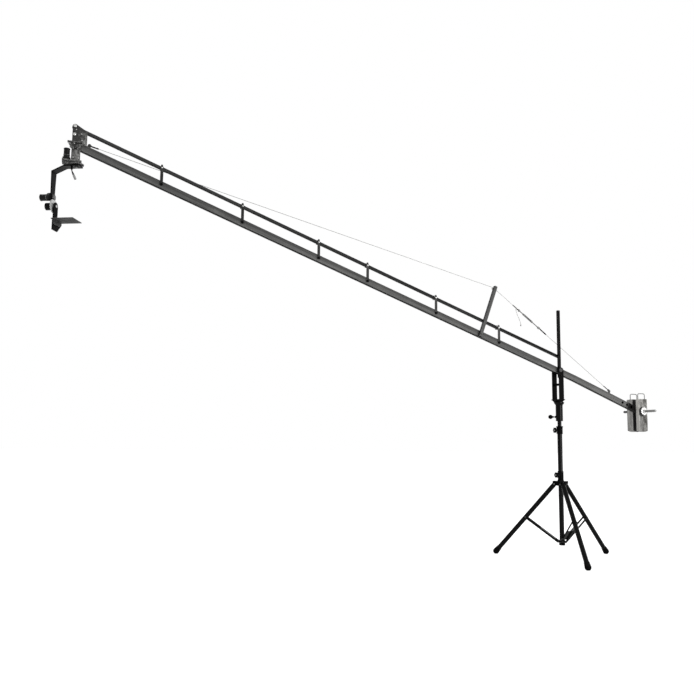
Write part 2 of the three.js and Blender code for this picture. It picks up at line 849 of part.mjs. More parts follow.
function makePost() {
  const half = postSide / 2;
  const tube = block([pivotX - half, postNear, postBottom], [pivotX + half, postFar, postTop]);
  const inset = half - postWall;
  const inside = block(
    [pivotX - inset, postNear + postWall, postBottom - cutOverrun],
    [pivotX + inset, postFar - postWall, postTop + cutOverrun],
  );
  const reach = [postNear - cutOverrun, postFar + cutOverrun];
  const holes = [bore('y', ...reach, pivotBoltDiameter, [pivotX, pivotZ], coarseSides)];
  const barPinHeight = pivotZ + linkSpan;
  for (let i = 1; i <= postHoleCount; i += 1) {
    const place = [pivotX, barPinHeight + i * postHolePitch];
    holes.push(rod('y', ...reach, postHoleDiameter, place, boltSides));
  }
  const boltFace = -forkOuter - fitGap;
  const barFace = levelWidth / 2 + fitGap;
  const boltPlace = [pivotX, postBoltHeight];
  const pinPlace = [pivotX, barPinHeight];
  const pinEnd = barFace + boltHeadThickness;
  return join([
    cut(tube.subtract(inside), holes),
    rod('y', boltFace, postFar, postBoltDiameter, boltPlace, coarseSides),
    rod('y', boltFace - boltHeadThickness, boltFace, boltHeadDiameter, boltPlace, boltSides),
    rod('y', postNear - boltHeadThickness, pinEnd, linkPinDiameter, pinPlace, coarseSides),
    rod('y', barFace, pinEnd, boltHeadDiameter, pinPlace, boltSides),
  ]);
}

// Pivot bolt of the boom with its heads and the bushes that centre the boom in the fork
function makeTiltBolt() {
  const headIn = forkOuter + fitGap;
  const headOut = headIn + pivotHeadThickness;
  const bushIn = boomWidth / 2 + fitGap;
  const centre = [0, 0];
  return join([
    rod('y', -headOut, headOut, pivotBoltDiameter, centre, coarseSides),
    rod('y', headIn, headOut, pivotHeadDiameter, centre, boltSides),
    rod('y', -headOut, -headIn, pivotHeadDiameter, centre, boltSides),
    rod('y', bushIn, forkInner - fitGap, pivotBushDiameter, centre, wheelSides),
    rod('y', postFar + fitGap, -bushIn, pivotBushDiameter, centre, wheelSides),
  ]);
}

// Boom tubes in the boom's own frame: pivot at the origin, head towards -X
const halfBoomHeight = boomHeight / 2;
const halfBoomWidth = boomWidth / 2;
const linkPlaces = linkPlaceShares.map((share) => share * headPinReach);
const seams = Array.from({ length: seamCount }, (_, i) => firstSectionReach + i * sectionLength);

function crossHole(place, rise, diameter) {
  const reach = halfBoomWidth + cutOverrun;
  return bore('y', -reach, reach, diameter, [-place, rise], coarseSides);
}

function boltHole(place, halfHeight, diameter) {
  const reach = halfHeight + cutOverrun;
  return bore('z', -reach, reach, diameter, [-place, 0], boltSides);
}

function throughBolt(place, halfHeight, diameter, headDiameter, headThickness) {
  const face = halfHeight + fitGap;
  const end = face + headThickness;
  return join([
    rod('z', -end, end, diameter, [-place, 0], boltSides),
    rod('z', face, end, headDiameter, [-place, 0], boltSides),
    rod('z', -end, -face, headDiameter, [-place, 0], boltSides),
  ]);
}

// Places of the bolts of each seam, either side of it
function bothSides(middle, offsets) {
  return offsets.flatMap((offset) => [middle - offset, middle + offset]);
}

function makeBoomTube(low, high, boltPlaces, crossBores) {
  const tube = boxTube(-high, -low, boomWidth, boomHeight, boomWall);
  const holes = boltPlaces
    .filter((place) => place > low && place < high)
    .map((place) => boltHole(place, halfBoomHeight, spigotBoltDiameter));
  const pins = linkPlaces.filter((place) => place > low && place < high);
  const pinHoles = pins.map((place) => crossHole(place, 0, linkPinDiameter));
  return cut(tube, [...holes, ...pinHoles, ...crossBores]);
}

function makeSpigot(seam) {
  const width = boomWidth - 2 * (boomWall + fitGap);
  const height = boomHeight - 2 * (boomWall + fitGap);
  const bolts = bothSides(seam, spigotBoltOffsets).map((place) => throughBolt(
    place,
    halfBoomHeight,
    spigotBoltDiameter,
    spigotHeadDiameter,
    spigotHeadThickness,
  ));
  return join([boxTube(-seam - spigotHalf, spigotHalf - seam, width, height, spigotWall), ...bolts]);
}

// The rear arm droops a little from its bent spigot and carries the holes for the weight bar
const armHoles = [];
for (let i = 0; i < barHoleCount; i += 1) armHoles.push(rearArmLength - barHoleInset - i * barHolePitch);

function rearLug() {
  const face = halfBoomHeight;
  const place = rearLugPlace - rearSeamBack;
  const plate = tongue(place, face - boomWall, face + rearLugRise, eyeDiameter);
  const hole = bore('y', -eyeDiameter, eyeDiameter, jawPinDiameter, [place, face + rearLugRise], coarseSides);
  return plateXZ(plate, -lugThickness / 2, lugThickness / 2).subtract(hole);
}

function makeRearArm() {
  const innerWidth = boomWidth - 2 * (boomWall + fitGap);
  const innerHeight = boomHeight - 2 * (boomWall + fitGap);
  const arm = boxTube(0, rearArmLength, boomWidth, boomHeight, boomWall);
  const lining = boxTube(
    0,
    rearSpigotHalf,
    boomWidth - boomWall,
    boomHeight - boomWall,
    spigotWall + boomWall / 2,
  );
  const holes = armHoles.map((place) => crossHole(-place, 0, barDiameter));
  const drooping = placed(cut(join([arm, lining, rearLug()]), holes), 0, rearArmDroop);
  const tongueTube = boxTube(-rearSpigotHalf, boomWall, innerWidth, innerHeight, spigotWall);
  const bolts = rearSpigotBoltOffsets.map((offset) => throughBolt(
    offset,
    halfBoomHeight,
    spigotBoltDiameter,
    spigotHeadDiameter,
    spigotHeadThickness,
  ));
  return join([drooping, tongueTube, ...bolts]);
}

// The front lug lies on the far side of the last tube, with the pin for the cable's eye
const lugFace = halfBoomWidth + lugThickness;
const frontCableSide = lugFace + fitGap + ferruleDiameter / 2;

function makeFrontLug() {
  const plate = tongue(-frontLugPlace, -frontLugDrop, frontLugRise, lugWidth);
  const pinEnd = frontCableSide + eyeThickness / 2 + fitGap;
  const place = [-frontLugPlace, frontLugRise];
  return join([
    plateXZ(plate, halfBoomWidth - boomWall / 2, lugFace),
    rod('y', lugFace - lugThickness, pinEnd, jawPinDiameter, place, coarseSides),
    rod('y', pinEnd, pinEnd + saddleThickness, boltHeadDiameter, place, coarseSides),
  ]);
}

// Mast: a square tube on the near side of the boom, with the saddle wheel for the guy cable
const mastFar = -halfBoomWidth - mastGap;
const mastNear = mastFar - mastSide;
const wheelRise = mastAbove - saddleWheelDrop;
const wheelFlank = Math.hypot(1, (2 * saddleWheelGroove) / saddleWheelWidth);
const cableRide = saddleWheelDiameter / 2 - saddleWheelGroove + cableLift + (cableDiameter / 2) * wheelFlank;
const cableApex = wheelRise + cableRide;

function makeMast() {
  const half = mastSide / 2;
  const tube = block([-mastPlace - half, mastNear, -mastBelow], [half - mastPlace, mastFar, mastAbove]);
  const inside = block(
    [-mastPlace - half + mastWall, mastNear + mastWall, -mastBelow - cutOverrun],
    [half - mastPlace - mastWall, mastFar - mastWall, mastAbove + cutOverrun],
  );
  const boltFace = halfBoomWidth + fitGap;
  const root = [-mastPlace, 0];
  const wheel = [-mastPlace, wheelRise];
  const halfWheel = saddleWheelWidth / 2;
  const grooveDiameter = saddleWheelDiameter - 2 * saddleWheelGroove;
  return join([
    tube.subtract(inside),
    rod('y', mastNear - boltHeadThickness, boltFace + boltHeadThickness, mastBoltDiameter, root, coarseSides),
    rod('y', mastNear - boltHeadThickness, mastNear, mastBoltHeadDiameter, root, boltSides),
    rod('y', boltFace, boltFace + boltHeadThickness, mastBoltHeadDiameter, root, boltSides),
    rod('y', mastNear - boltHeadThickness, halfWheel, saddleAxleDiameter, wheel, coarseSides),
    taper('y', -halfWheel, 0, saddleWheelDiameter, grooveDiameter, wheel, wheelSides),
    taper('y', 0, halfWheel, grooveDiameter, saddleWheelDiameter, wheel, wheelSides),
  ]);
}

// Eye and jaw fittings of the guy cable, along +X from their pin at the origin
function eyeFitting(rodDiameter, reach) {
  const half = eyeThickness / 2;
  const ring = rod('y', -half, half, eyeDiameter, [0, 0], wheelSides);
  const hole = bore('y', -eyeDiameter, eyeDiameter, jawPinDiameter, [0, 0], coarseSides);
  const ferrule = rod('x', eyeDiameter / 2 - ferruleRoot, reach, rodDiameter, [0, 0], coarseSides);
  return join([ring, ferrule]).subtract(hole);
}

function jawFitting(gapWidth, rodDiameter, reach) {
  const cheekIn = gapWidth / 2 + fitGap;
  const cheekOut = cheekIn + jawCheekThickness;
  const half = jawPinDiameter;
  const shape = new THREE.Shape();
  shape.absarc(0, 0, half, rightAngle, 3 * rightAngle, false);
  shape.lineTo(jawReach + jawRootLength, -half);
  shape.lineTo(jawReach + jawRootLength, half);
  shape.closePath();
  return join([
    plateXZ(shape, cheekIn, cheekOut),
    plateXZ(shape, -cheekOut, -cheekIn),
    block([jawReach, -cheekOut, -half], [jawReach + jawRootLength, cheekOut, half]),
    rod('y', -cheekOut, cheekOut, jawPinDiameter, [0, 0], coarseSides),
    rod('x', jawReach, reach, rodDiameter, [0, 0], coarseSides),
  ]);
}

// The rear run of the cable lies in the boom's plane; places along it are shares of its length
const droopRadius = rearLugPlace - rearSeamBack;
const rearLugHeight = halfBoomHeight + rearLugRise;
const droopCosine = Math.cos(rearArmDroop);
const droopSine = Math.sin(rearArmDroop);
const rearAnchorX = rearSeamBack + droopRadius * droopCosine + rearLugHeight * droopSine;
const rearAnchorZ = rearLugHeight * droopCosine - droopRadius * droopSine;
const rearRunX = rearAnchorX + mastPlace;
const rearRunZ = cableApex - rearAnchorZ;
const rearRun = Math.hypot(rearRunX, rearRunZ);
const rearRunDip = Math.atan2(rearRunZ, rearRunX);

function alongRearRun(share) {
  return [rearRunX * share - mastPlace, 0, cableApex - rearRunZ * share];
}

// Front cable: from the far-side lug over the mast's wheel to the front eye of the rear run
function makeFrontCable() {
  const start = [-frontLugPlace, frontCableSide, frontLugRise];
  const apex = alongRearRun(0);
  const end = alongRearRun(frontEyeShare);
  const run = new THREE.Vector3(...apex).sub(new THREE.Vector3(...start));
  const rise = -Math.atan2(run.z, run.x);
  const swing = Math.atan2(run.y, run.x);
  const startEye = placed(eyeFitting(ferruleDiameter, ferruleLength), swing, rise, start);
  const endEye = placed(eyeFitting(ferruleDiameter, ferruleLength), Math.PI, -rearRunDip, end);
  const bend = new THREE.SphereGeometry(cableDiameter / 2, coarseSides, boltSides);
  bend.translate(...apex);
  return join([
    startEye,
    strut(between(start, apex, ferruleLength / 2 / run.length()), apex, cableDiameter),
    toSolid(bend),
    strut(apex, between(end, apex, ferruleLength / 2 / (rearRun * frontEyeShare)), cableDiameter),
    endEye,
  ]);
}

// Turnbuckle: a slotted body between two jaws, pinned to the eyes of both cables
function makeTurnbuckle() {
  const from = rearRun * (turnbuckleStartShare - frontEyeShare);
  const to = rearRun * (turnbuckleEndShare - frontEyeShare);
  const length = rearRun * (rearEyeShare - frontEyeShare);
  const half = turnbuckleSlot / 2;
  const body = rod('x', from, to, turnbuckleDiameter);
  const reach = turnbuckleDiameter;
  const slot = block([from + reach, -reach, -half], [to - reach, reach, half]);
  const frontJaw = jawFitting(eyeThickness, turnbuckleRodDiameter, from + 2 * reach);
  const rearReach = length - to + 2 * reach;
  const rearJaw = jawFitting(eyeThickness, turnbuckleRodDiameter, rearReach);
  return join([body.subtract(slot), frontJaw, placed(rearJaw, Math.PI, 0, [length, 0, 0])]);
}

// Rear cable: an eye with its ferrule, the cable, a second ferrule and the jaw on the rear lug
function makeRearCable() {
  const length = rearRun * (1 - rearEyeShare);
  const jaw = jawFitting(lugThickness, ferruleDiameter, jawReach + ferruleLength);
  return join([
    eyeFitting(ferruleDiameter, eyeDiameter + ferruleLength),
    rod('x', ferruleLength / 2, length - ferruleLength / 2, cableDiameter, [0, 0], coarseSides),
    placed(jaw, Math.PI, 0, [length, 0, 0]),
  ]);
}

// The spare end of the front cable, cut to a short tail with a pressed cap
function makeTail() {
  const last = tailRoute[tailRoute.length - 1];
  const cap = rod('z', last[2] - tailCapLength, last[2], tailCapDiameter, [last[0], last[1]], coarseSides);
  return drawnRod(tailRoute, tailDiameter, cordArcSteps, tailRoute.length).add(cap);
}

// Levelling bar: four flat tubes, each with a spigot that enters the one before it
const levelSeams = seams.map((seam) => seam - levelSeamBack);

function levelHole(place) {
  const reach = levelHeight / 2 + cutOverrun;
  return bore('z', -reach, reach, levelBoltDiameter, [-place, 0], boltSides);
}

function levelBolt(place) {
  return throughBolt(place, levelHeight / 2, levelBoltDiameter, levelHeadDiameter, levelHeadThickness);
}

function makeLevelBar(low, high, hasSpigot, takesSpigot) {
  const tube = boxTube(-high, -low, levelWidth, levelHeight, levelWall);
  const pins = [0, ...linkPlaces, headPinReach].filter((place) => place > low && place < high);
  const bores = pins.map((place) => crossHole(place, 0, linkPinDiameter));
  if (takesSpigot) bores.push(levelHole(high - levelBoltOffset));
  const bar = cut(tube, bores);
  if (!hasSpigot) return bar;
  const width = levelWidth - 2 * (levelWall + fitGap);
  const height = levelHeight - 2 * (levelWall + fitGap);
  const grip = levelWidth - levelWall;
  return join([
    bar,
    boxTube(-low - levelSpigotHalf, levelSpigotHalf - low, width, height, levelWall),
    boxTube(-low - levelSpigotHalf, -low - seamGap, grip, levelHeight - levelWall, levelWall + levelWall),
    levelBolt(low - levelBoltOffset),
    levelBolt(low + levelBoltOffset),
  ]);
}

// A link: a flat bar on the near side, its lower pin with a domed knob, and a bent strap over the bar
function makeLink() {
  const barFar = -halfBoomWidth - linkGap;
  const barNear = barFar - linkThickness;
  const strapIn = levelWidth / 2 + linkGap;
  const strapOut = strapIn + saddleThickness;
  const knobOut = barNear - linkKnobThickness;
  const nutIn = halfBoomWidth + fitGap;
  const top = linkSpan + saddleRise;
  const halfTop = saddleTopWidth / 2;
  const half = linkWidth / 2;
  const strap = outline([
    [-half, linkSpan - saddleDrop],
    [half, linkSpan - saddleDrop],
    [half, linkSpan],
    [halfTop, top],
    [-halfTop, top],
    [-half, linkSpan],
  ]);
  const strapSolid = plateXZ(strap, barFar - rootOverlap, strapOut);
  const window = block(
    [-linkWidth, -strapIn, linkSpan - linkWidth],
    [linkWidth, strapIn, top - saddleThickness],
  );
  return join([
    plateXZ(roundedBar(0, 0, linkSpan, linkWidth), barNear, barFar),
    strapSolid.subtract(window),
    rod('y', barNear, nutIn + linkNutThickness, linkPinDiameter, [0, 0], coarseSides),
    rod('y', nutIn, nutIn + linkNutThickness, linkNutDiameter, [0, 0], boltSides),
    taper('y', knobOut, barNear, linkKnobTipDiameter, linkKnobDiameter, [0, 0], coarseSides),
    rod('y', barNear, strapOut, linkPinDiameter, [0, linkSpan], coarseSides),
  ]);
}

// The boom with everything fixed to it, and the links and levelling bar that move with it
function makeBoom() {
  const rearGap = halfBoomHeight * Math.sin(rearArmDroop) + fitGap;
  const lows = [rearGap - rearSeamBack, ...seams.map((seam) => seam + seamGap)];
  const highs = [...seams, headPinReach + headPinInset];
  const boltPlaces = [
    ...rearSpigotBoltOffsets.map((offset) => offset - rearSeamBack),
    ...seams.flatMap((seam) => bothSides(seam, spigotBoltOffsets)),
  ];
  const parts = lows.map((low, i) => {
    const bores = [];
    if (i === 0) bores.push(crossHole(0, 0, pivotBoltDiameter), crossHole(mastPlace, 0, mastBoltDiameter));
    const isLast = i === lows.length - 1;
    if (isLast) bores.push(crossHole(headPinReach, 0, headPinDiameter));
    const tube = makeBoomTube(low, highs[i], boltPlaces, bores);
    return piece(`boom_tube_${i + 1}`, isLast ? tube.add(makeFrontLug()) : tube, greyTube);
  });
  seams.forEach((seam, i) => parts.push(piece(`boom_spigot_${i + 1}`, makeSpigot(seam), darkBar)));
  const rearArm = nest([rearSeamBack, 0, 0], [0, 0, 0], piece('boom_tube_rear', makeRearArm(), greyTube));
  const turnbuckle = piece('turnbuckle', makeTurnbuckle(), zinc);
  const rearCable = piece('guy_cable_rear', makeRearCable(), zinc);
  const tail = piece('guy_tail', makeTail(), blackRubber);
  const onRun = (share, ...children) => nest(alongRearRun(share), [0, rearRunDip, 0], ...children);
  const tailPlace = alongRearRun(frontEyeShare - tailFromEyeShare);
  const dip = rearRunDip + boomTilt;
  const tailDrop = ferruleDiameter / 2 / Math.cos(dip) + (tailDiameter / 2) * Math.tan(dip) + fitGap;
  parts.push(
    rearArm,
    piece('guy_mast', makeMast(), darkBar),
    piece('guy_cable_front', makeFrontCable(), zinc),
    onRun(frontEyeShare, turnbuckle),
    onRun(rearEyeShare, rearCable),
    nest(tailPlace, [0, -boomTilt, 0], nest([0, 0, -tailDrop], [0, 0, 0], tail)),
  );
  for (const place of linkPlaces) {
    const link = piece(`link_${linkPlaces.indexOf(place) + 1}`, makeLink(), darkBar);
    parts.push(nest([-place, 0, 0], [0, -boomTilt, 0], link));
  }
  return nest([pivotX, 0, pivotZ], [0, boomTilt, 0], ...parts);
}

function makeLevelBars() {
  const lows = [-levelBackEnd, ...levelSeams];
  const highs = [...levelSeams.map((seam) => seam - seamGap), headPinReach + levelFrontEnd];
  const bars = lows.map((low, i) => {
    const bar = makeLevelBar(low, highs[i], i > 0, i < lows.length - 1);
    return piece(`level_bar_${i + 1}`, bar, darkBar);
  });
  return nest([pivotX, 0, pivotZ + linkSpan], [0, boomTilt, 0], ...bars);
}

// Head bracket in its own frame: lower pin at the origin
const headOuter = headPlateInner + headPlateThickness;

function makeHeadBracket() {
  const nearShape = outline([
    [headPlateLeft, linkSpan],
    [headPlateLeft, headGussetTop],
    [headGussetLeft, headGussetTop],
    [headNeckLeft, headGussetBottom],
    [headNeckLeft, headBaseTop - headBaseThickness / 2],
    [headNeckRight, headBaseTop - headBaseThickness / 2],
    [headNeckRight, headPlateStep],
    [headPlateRight, headPlateStep],
    [headPlateTopRight - headPinRound, linkSpan - headFlangeDepth],
    [headPinRound / 2, linkSpan + headPinRound],
    [0, linkSpan + headPinRound],
  ]);
  const window = block(
    [headWindowX - headWindowSide / 2, -headOuter - cutOverrun, headWindowZ - headWindowSide / 2],
    [headWindowX + headWindowSide / 2, -headPlateInner + cutOverrun, headWindowZ + headWindowSide / 2],
  );
  const farShape = tongue(0, headBaseTop - headBaseThickness / 2, linkSpan, 2 * headPinRound);
  const halfBase = headBaseWidth / 2;
  const pinEnd = headOuter + headBoltThickness;
  const body = join([
    plateXZ(nearShape, -headOuter, -headPlateInner).subtract(window),
    rod('y', -headOuter, -headPlateInner, 2 * headPinRound, [0, linkSpan]),
    plateXZ(farShape, headPlateInner, headOuter),
    block([headBaseLeft, -halfBase, headBaseTop - headBaseThickness], [headBaseRight, halfBase, headBaseTop]),
    block(
      [headBlockLeft, -headPlateInner - rootOverlap, headBaseTop - rootOverlap],
      [headNeckRight, headPlateInner + rootOverlap, headBlockTop],
    ),
    block(
      [headFlangeLeft, -headOuter - headFlangeDepth, 0],
      [headFlangeRight, -headPlateInner - headPlateThickness / 2, headFlangeThickness],
    ),
    rod('y', -pinEnd, pinEnd, headPinDiameter, [0, 0], coarseSides),
    rod('y', -pinEnd, pinEnd, linkPinDiameter, [0, linkSpan], coarseSides),
    rod('y', headPlateInner, pinEnd, headBoltDiameter, [0, 0], coarseSides),
    rod('y', headPlateInner, pinEnd, headBoltDiameter, [0, linkSpan], coarseSides),
    rod('y', -pinEnd, -headPlateInner, headBoltDiameter, [0, linkSpan], coarseSides),
    rod('y', -pinEnd, -headPlateInner, headBoltDiameter, [0, headMiddleBoltHeight], coarseSides),
  ]);
  const low = headBaseTop - headBaseThickness - cutOverrun;
  return cut(body, [
    bore('z', low, headBlockTop + cutOverrun, panShaftDiameter, [panAxisX, 0]),
    bore('z', low, headBaseTop + cutOverrun, motorShaftDiameter, [panAxisX - panCentres, 0], coarseSides),
  ]);
}

// Gears: straight-sided teeth on a pitch circle of the module times the tooth count
const toothRootShare = 0.58;
const toothTipShare = 0.24;
const addendumShare = 0.9;
const dedendumShare = 1.2;

function gearShape(teeth, startAngle) {
  const pitchRadius = (gearModule * teeth) / 2;
  const root = pitchRadius - gearModule * dedendumShare;
  const tip = pitchRadius + gearModule * addendumShare - gearClearance;
  const half = Math.PI / teeth;
  const points = [];
  for (let i = 0; i < teeth; i += 1) {
    const middle = startAngle + 2 * i * half;
    const corners = [
      [root, middle - half * toothRootShare],
      [tip, middle - half * toothTipShare],
      [tip, middle + half * toothTipShare],
      [root, middle + half * toothRootShare],
    ];
    for (const [radius, angle] of corners) points.push([radius * Math.cos(angle), radius * Math.sin(angle)]);
  }
  return outline(points);
}

// Pan drive: motor and pinion stand on the bracket's base, the wheel turns under it
const headBaseLow = headBaseTop - headBaseThickness;
const panGearTop = headBaseLow - panGearDrop;
const panGearLow = panGearTop - panGearThickness;
const armTop = panGearLow - panHubLength;
const armLow = armTop - armThickness;

function makePanMotor() {
  const footLow = headBaseTop + fitGap;
  const footHigh = footLow + motorFootHeight;
  const half = motorFootSide / 2;
  const body = join([
    block([-half, -half, footLow], [half, half, footHigh]),
    rod('z', footHigh - rootOverlap, footHigh + motorLength, motorDiameter),
    rod('z', footHigh, footHigh + motorLength + motorCapHeight, motorCapDiameter),
  ]);
  const boreTop = footLow + motorShaftReach + fitGap;
  return body.subtract(bore('z', footLow - cutOverrun, boreTop, motorShaftDiameter));
}

function makePanPinion() {
  const high = headBaseLow - panPinionDrop;
  const wheel = plateXY(gearShape(panPinionTeeth, 0), high - panPinionThickness, high);
  return wheel.add(rod('z', high - rootOverlap, headBaseTop + motorShaftReach, motorShaftDiameter));
}

function makePanGear() {
  const nutLow = headBlockTop + fitGap;
  const lowNut = armLow - fitGap;
  const toothTurn = Math.PI / panGearTeeth + Math.PI - headTurn;
  return join([
    plateXY(gearShape(panGearTeeth, toothTurn), panGearLow, panGearTop),
    rod('z', panGearTop - rootOverlap, headBaseLow - fitGap, panHubDiameter),
    rod('z', armTop + fitGap, panGearLow + rootOverlap, panHubDiameter),
    rod('z', lowNut - panNutHeight, nutLow + panNutHeight, panShaftDiameter),
    rod('z', nutLow, nutLow + panNutHeight, panNutDiameter, [0, 0], boltSides),
    rod('z', lowNut - panNutHeight, lowNut, panNutDiameter, [0, 0], boltSides),
  ]);
}

// A bent flat bar: the outline of a line of points with the given thickness
function ribbon(points, thickness) {
  const half = thickness / 2;
  const places = points.map(([u, v]) => new THREE.Vector2(u, v));
  const normals = places.slice(1).map((place, i) => {
    const along = place.clone().sub(places[i]).normalize();
    return new THREE.Vector2(-along.y, along.x);
  });
  const offsets = places.map((place, i) => {
    const before = normals[Math.max(i - 1, 0)];
    const after = normals[Math.min(i, normals.length - 1)];
    return before.clone().add(after).divideScalar(1 + before.dot(after)).multiplyScalar(half);
  });
  const left = places.map((place, i) => place.clone().add(offsets[i]));
  const right = places.map((place, i) => place.clone().sub(offsets[i])).reverse();
  return new THREE.Shape([...left, ...right]);
}

// Drop arm: a bent flat bar under the pan wheel, its lower end round about the tilt axis
const tiltCentres = (gearModule * (tiltGearTeeth + tiltPinionTeeth)) / 2;
const tiltMotorDrop = tiltAxisDrop - tiltCentres;
const armOuterFace = -armDropOut - armThickness / 2;

function makeArm() {
  const middle = armTop - armThickness / 2;
  const bar = ribbon(
    [
      [armInnerEnd, middle],
      [-armBendOut, middle],
      [-armDropOut, -armDropBend],
      [-armDropOut, -tiltAxisDrop - armWidthTop],
    ],
    armThickness,
  );
  const halfTop = armWidthTop / 2;
  const halfLow = armWidthBottom / 2;
  const face = new THREE.Shape();
  face.moveTo(halfTop, armTop + cutOverrun);
  face.lineTo(-halfTop, armTop + cutOverrun);
  face.lineTo(-halfTop, -armDropBend);
  face.absarc(0, -tiltAxisDrop, halfLow, Math.PI, 2 * Math.PI, false);
  face.lineTo(halfTop, -armDropBend);
  face.closePath();
  const side = plateYZ(face, -armDropOut - armWidthTop, armWidthTop);
  const body = plateXZ(bar, -halfTop, halfTop).intersect(side);
  const gland = rod('z', armLow - leadGlandHeight, armLow + rootOverlap, leadGlandDiameter, [leadGlandX, 0]);
  const bearingEnd = armOuterFace - tiltBearingLength;
  const bearing = rod('x', bearingEnd, armOuterFace + rootOverlap, tiltBearingDiameter, [0, -tiltAxisDrop]);
  const reach = [bearingEnd - cutOverrun, armOuterFace + armThickness + cutOverrun];
  return cut(join([body, gland, bearing]), [
    bore('z', armLow - cutOverrun, armTop + cutOverrun, panShaftDiameter),
    bore('x', ...reach, tiltShaftDiameter, [0, -tiltAxisDrop]),
    bore('x', ...reach, motorShaftDiameter, [0, -tiltMotorDrop]),
  ]);
}

// Tilt drive outside the arm, its wheel and pinion inside it
function makeTiltMotor() {
  const face = armOuterFace - fitGap;
  const bodyFace = face - tiltMotorCollarLength;
  const centre = [0, -tiltMotorDrop];
  const body = join([
    rod('x', bodyFace, face, tiltHubDiameter, centre),
    rod('x', bodyFace - tiltMotorLength, bodyFace, tiltMotorDiameter, centre),
  ]);
  return body.subtract(bore('x', face - motorShaftReach, face + cutOverrun, motorShaftDiameter, centre));
}

function makeTiltPinion() {
  const half = tiltGearThickness / 2 + rootOverlap;
  const centre = [0, -tiltMotorDrop];
  const wheel = plateYZ(gearShape(tiltPinionTeeth, -rightAngle), -tiltGearOut - half, half - tiltGearOut);
  const shaftEnd = armOuterFace - motorShaftReach + fitGap;
  const shaft = rod('x', shaftEnd, -tiltGearOut, motorShaftDiameter, centre);
  return placed(wheel, 0, 0, [0, 0, -tiltMotorDrop]).add(shaft);
}

const cradleFaceIn = -cradleOut - cradleThickness / 2;
const cradleFaceOut = -cradleOut + cradleThickness / 2;

function makeTiltGear() {
  const half = tiltGearThickness / 2;
  const nutIn = cradleFaceOut + fitGap;
  const nutEnd = nutIn + boltHeadThickness;
  const bearingEnd = armOuterFace - fitGap - tiltBearingLength;
  const toothTurn = Math.PI / tiltGearTeeth + rightAngle;
  return join([
    plateYZ(gearShape(tiltGearTeeth, toothTurn), -tiltGearOut - half, half - tiltGearOut),
    rod('x', -tiltGearOut, cradleFaceIn - fitGap, tiltHubDiameter, [0, 0], wheelSides),
    rod('x', bearingEnd - boltHeadThickness, nutEnd, tiltShaftDiameter, [0, 0], coarseSides),
    rod('x', bearingEnd - boltHeadThickness, bearingEnd, headBoltDiameter, [0, 0], boltSides),
    rod('x', nutIn, nutEnd, headBoltDiameter, [0, 0], boltSides),
  ]);
}

// Camera cradle: an upright plate on the tilt shaft with a wider foot, and the camera plate on it
function makeCradle() {
  const shape = new THREE.Shape();
  shape.moveTo(tiltPlateRound, 0);
  shape.absarc(0, 0, tiltPlateRound, 0, Math.PI, false);
  shape.lineTo(-tiltPlateRound, -cradleShoulder);
  shape.lineTo(-cradleFront, -cradleShoulder);
  shape.lineTo(-cradleFront, -cradleDepth);
  shape.lineTo(cradleBack - cradleChamferY, -cradleDepth);
  shape.lineTo(cradleBack, cradleChamferZ - cradleDepth);
  shape.lineTo(cradleBack, -cradleShoulder);
  shape.lineTo(tiltPlateRound, -cradleShoulder);
  shape.closePath();
  const hole = bore('x', cradleFaceIn - cutOverrun, cradleFaceOut + cutOverrun, tiltShaftDiameter);
  return plateYZ(shape, cradleFaceIn, cradleFaceOut).subtract(hole);
}

function makeCameraPlate() {
  const face = cradleFaceOut + fitGap;
  const low = -cameraPlateDrop - cameraPlateThickness;
  const middle = (face + cameraPlateEnd) / 2;
  const halfSlot = cameraSlotLength / 2;
  const slotSide = cameraSlotWidth / 2;
  const slot = block(
    [middle - halfSlot, -slotSide, low - cutOverrun],
    [middle + halfSlot, slotSide, cutOverrun],
  );
  const lip = block(
    [face, -cradleFront, low - cameraLipDepth],
    [face + cameraPlateThickness, cameraPlateBack, low + rootOverlap],
  );
  const plate = block([face, -cameraPlateFront, low], [cameraPlateEnd, cameraPlateBack, -cameraPlateDrop]);
  return plate.add(lip).subtract(slot);
}

function makeLead() {
  return drawnRod(leadRoute, leadDiameter, cordArcSteps, leadRoute.length);
}

function makePlug() {
  const last = leadRoute[leadRoute.length - 1];
  const body = join([
    rod('z', -plugLength, -plugCollarLength, plugDiameter),
    rod('z', -plugLength / 2, -fitGap, plugCollarDiameter),
  ]);
  return placed(body, 0, -plugTurn, [last[0], last[1], last[2]]);
}

function makeHead() {
  const drop = [0, 0, -tiltAxisDrop];
  const lead = nest(
    [leadGlandX, 0, armLow - leadGlandHeight - fitGap],
    [0, 0, 0],
    piece('head_lead', makeLead(), blackRubber),
    piece('head_plug', makePlug(), alloy),
  );
  const tilting = nest(
    drop,
    [0, 0, 0],
    piece('tilt_gear', makeTiltGear(), alloy),
    piece('camera_cradle', makeCradle(), blackCasting),
    piece('camera_plate', makeCameraPlate(), greyTube),
  );
  const panning = nest(
    [panAxisX, 0, 0],
    [0, 0, headTurn],
    piece('pan_gear', makePanGear(), castGrey),
    piece('drop_arm', makeArm(), blackCasting),
    piece('tilt_motor', makeTiltMotor(), motorBlack),
    piece('tilt_pinion', makeTiltPinion(), castGrey),
    lead,
    tilting,
  );
  const panMotor = nest(
    [panAxisX - panCentres, 0, 0],
    [0, 0, 0],
    piece('pan_motor', makePanMotor(), motorBlack),
    piece('pan_pinion', makePanPinion(), castGrey),
  );
  const bracket = piece('head_bracket', makeHeadBracket(), greyTube);
  return nest(boomPoint(-headPinReach, 0), [0, 0, 0], bracket, panMotor, panning);
}

// Counterweights: blocks that hang plumb on a bar through the rear arm
const nearFace = halfBoomWidth + weightSideGap;
const nearOuter = nearFace + nearWeightThickness;
const farOuter = nearFace + farWeightThickness;

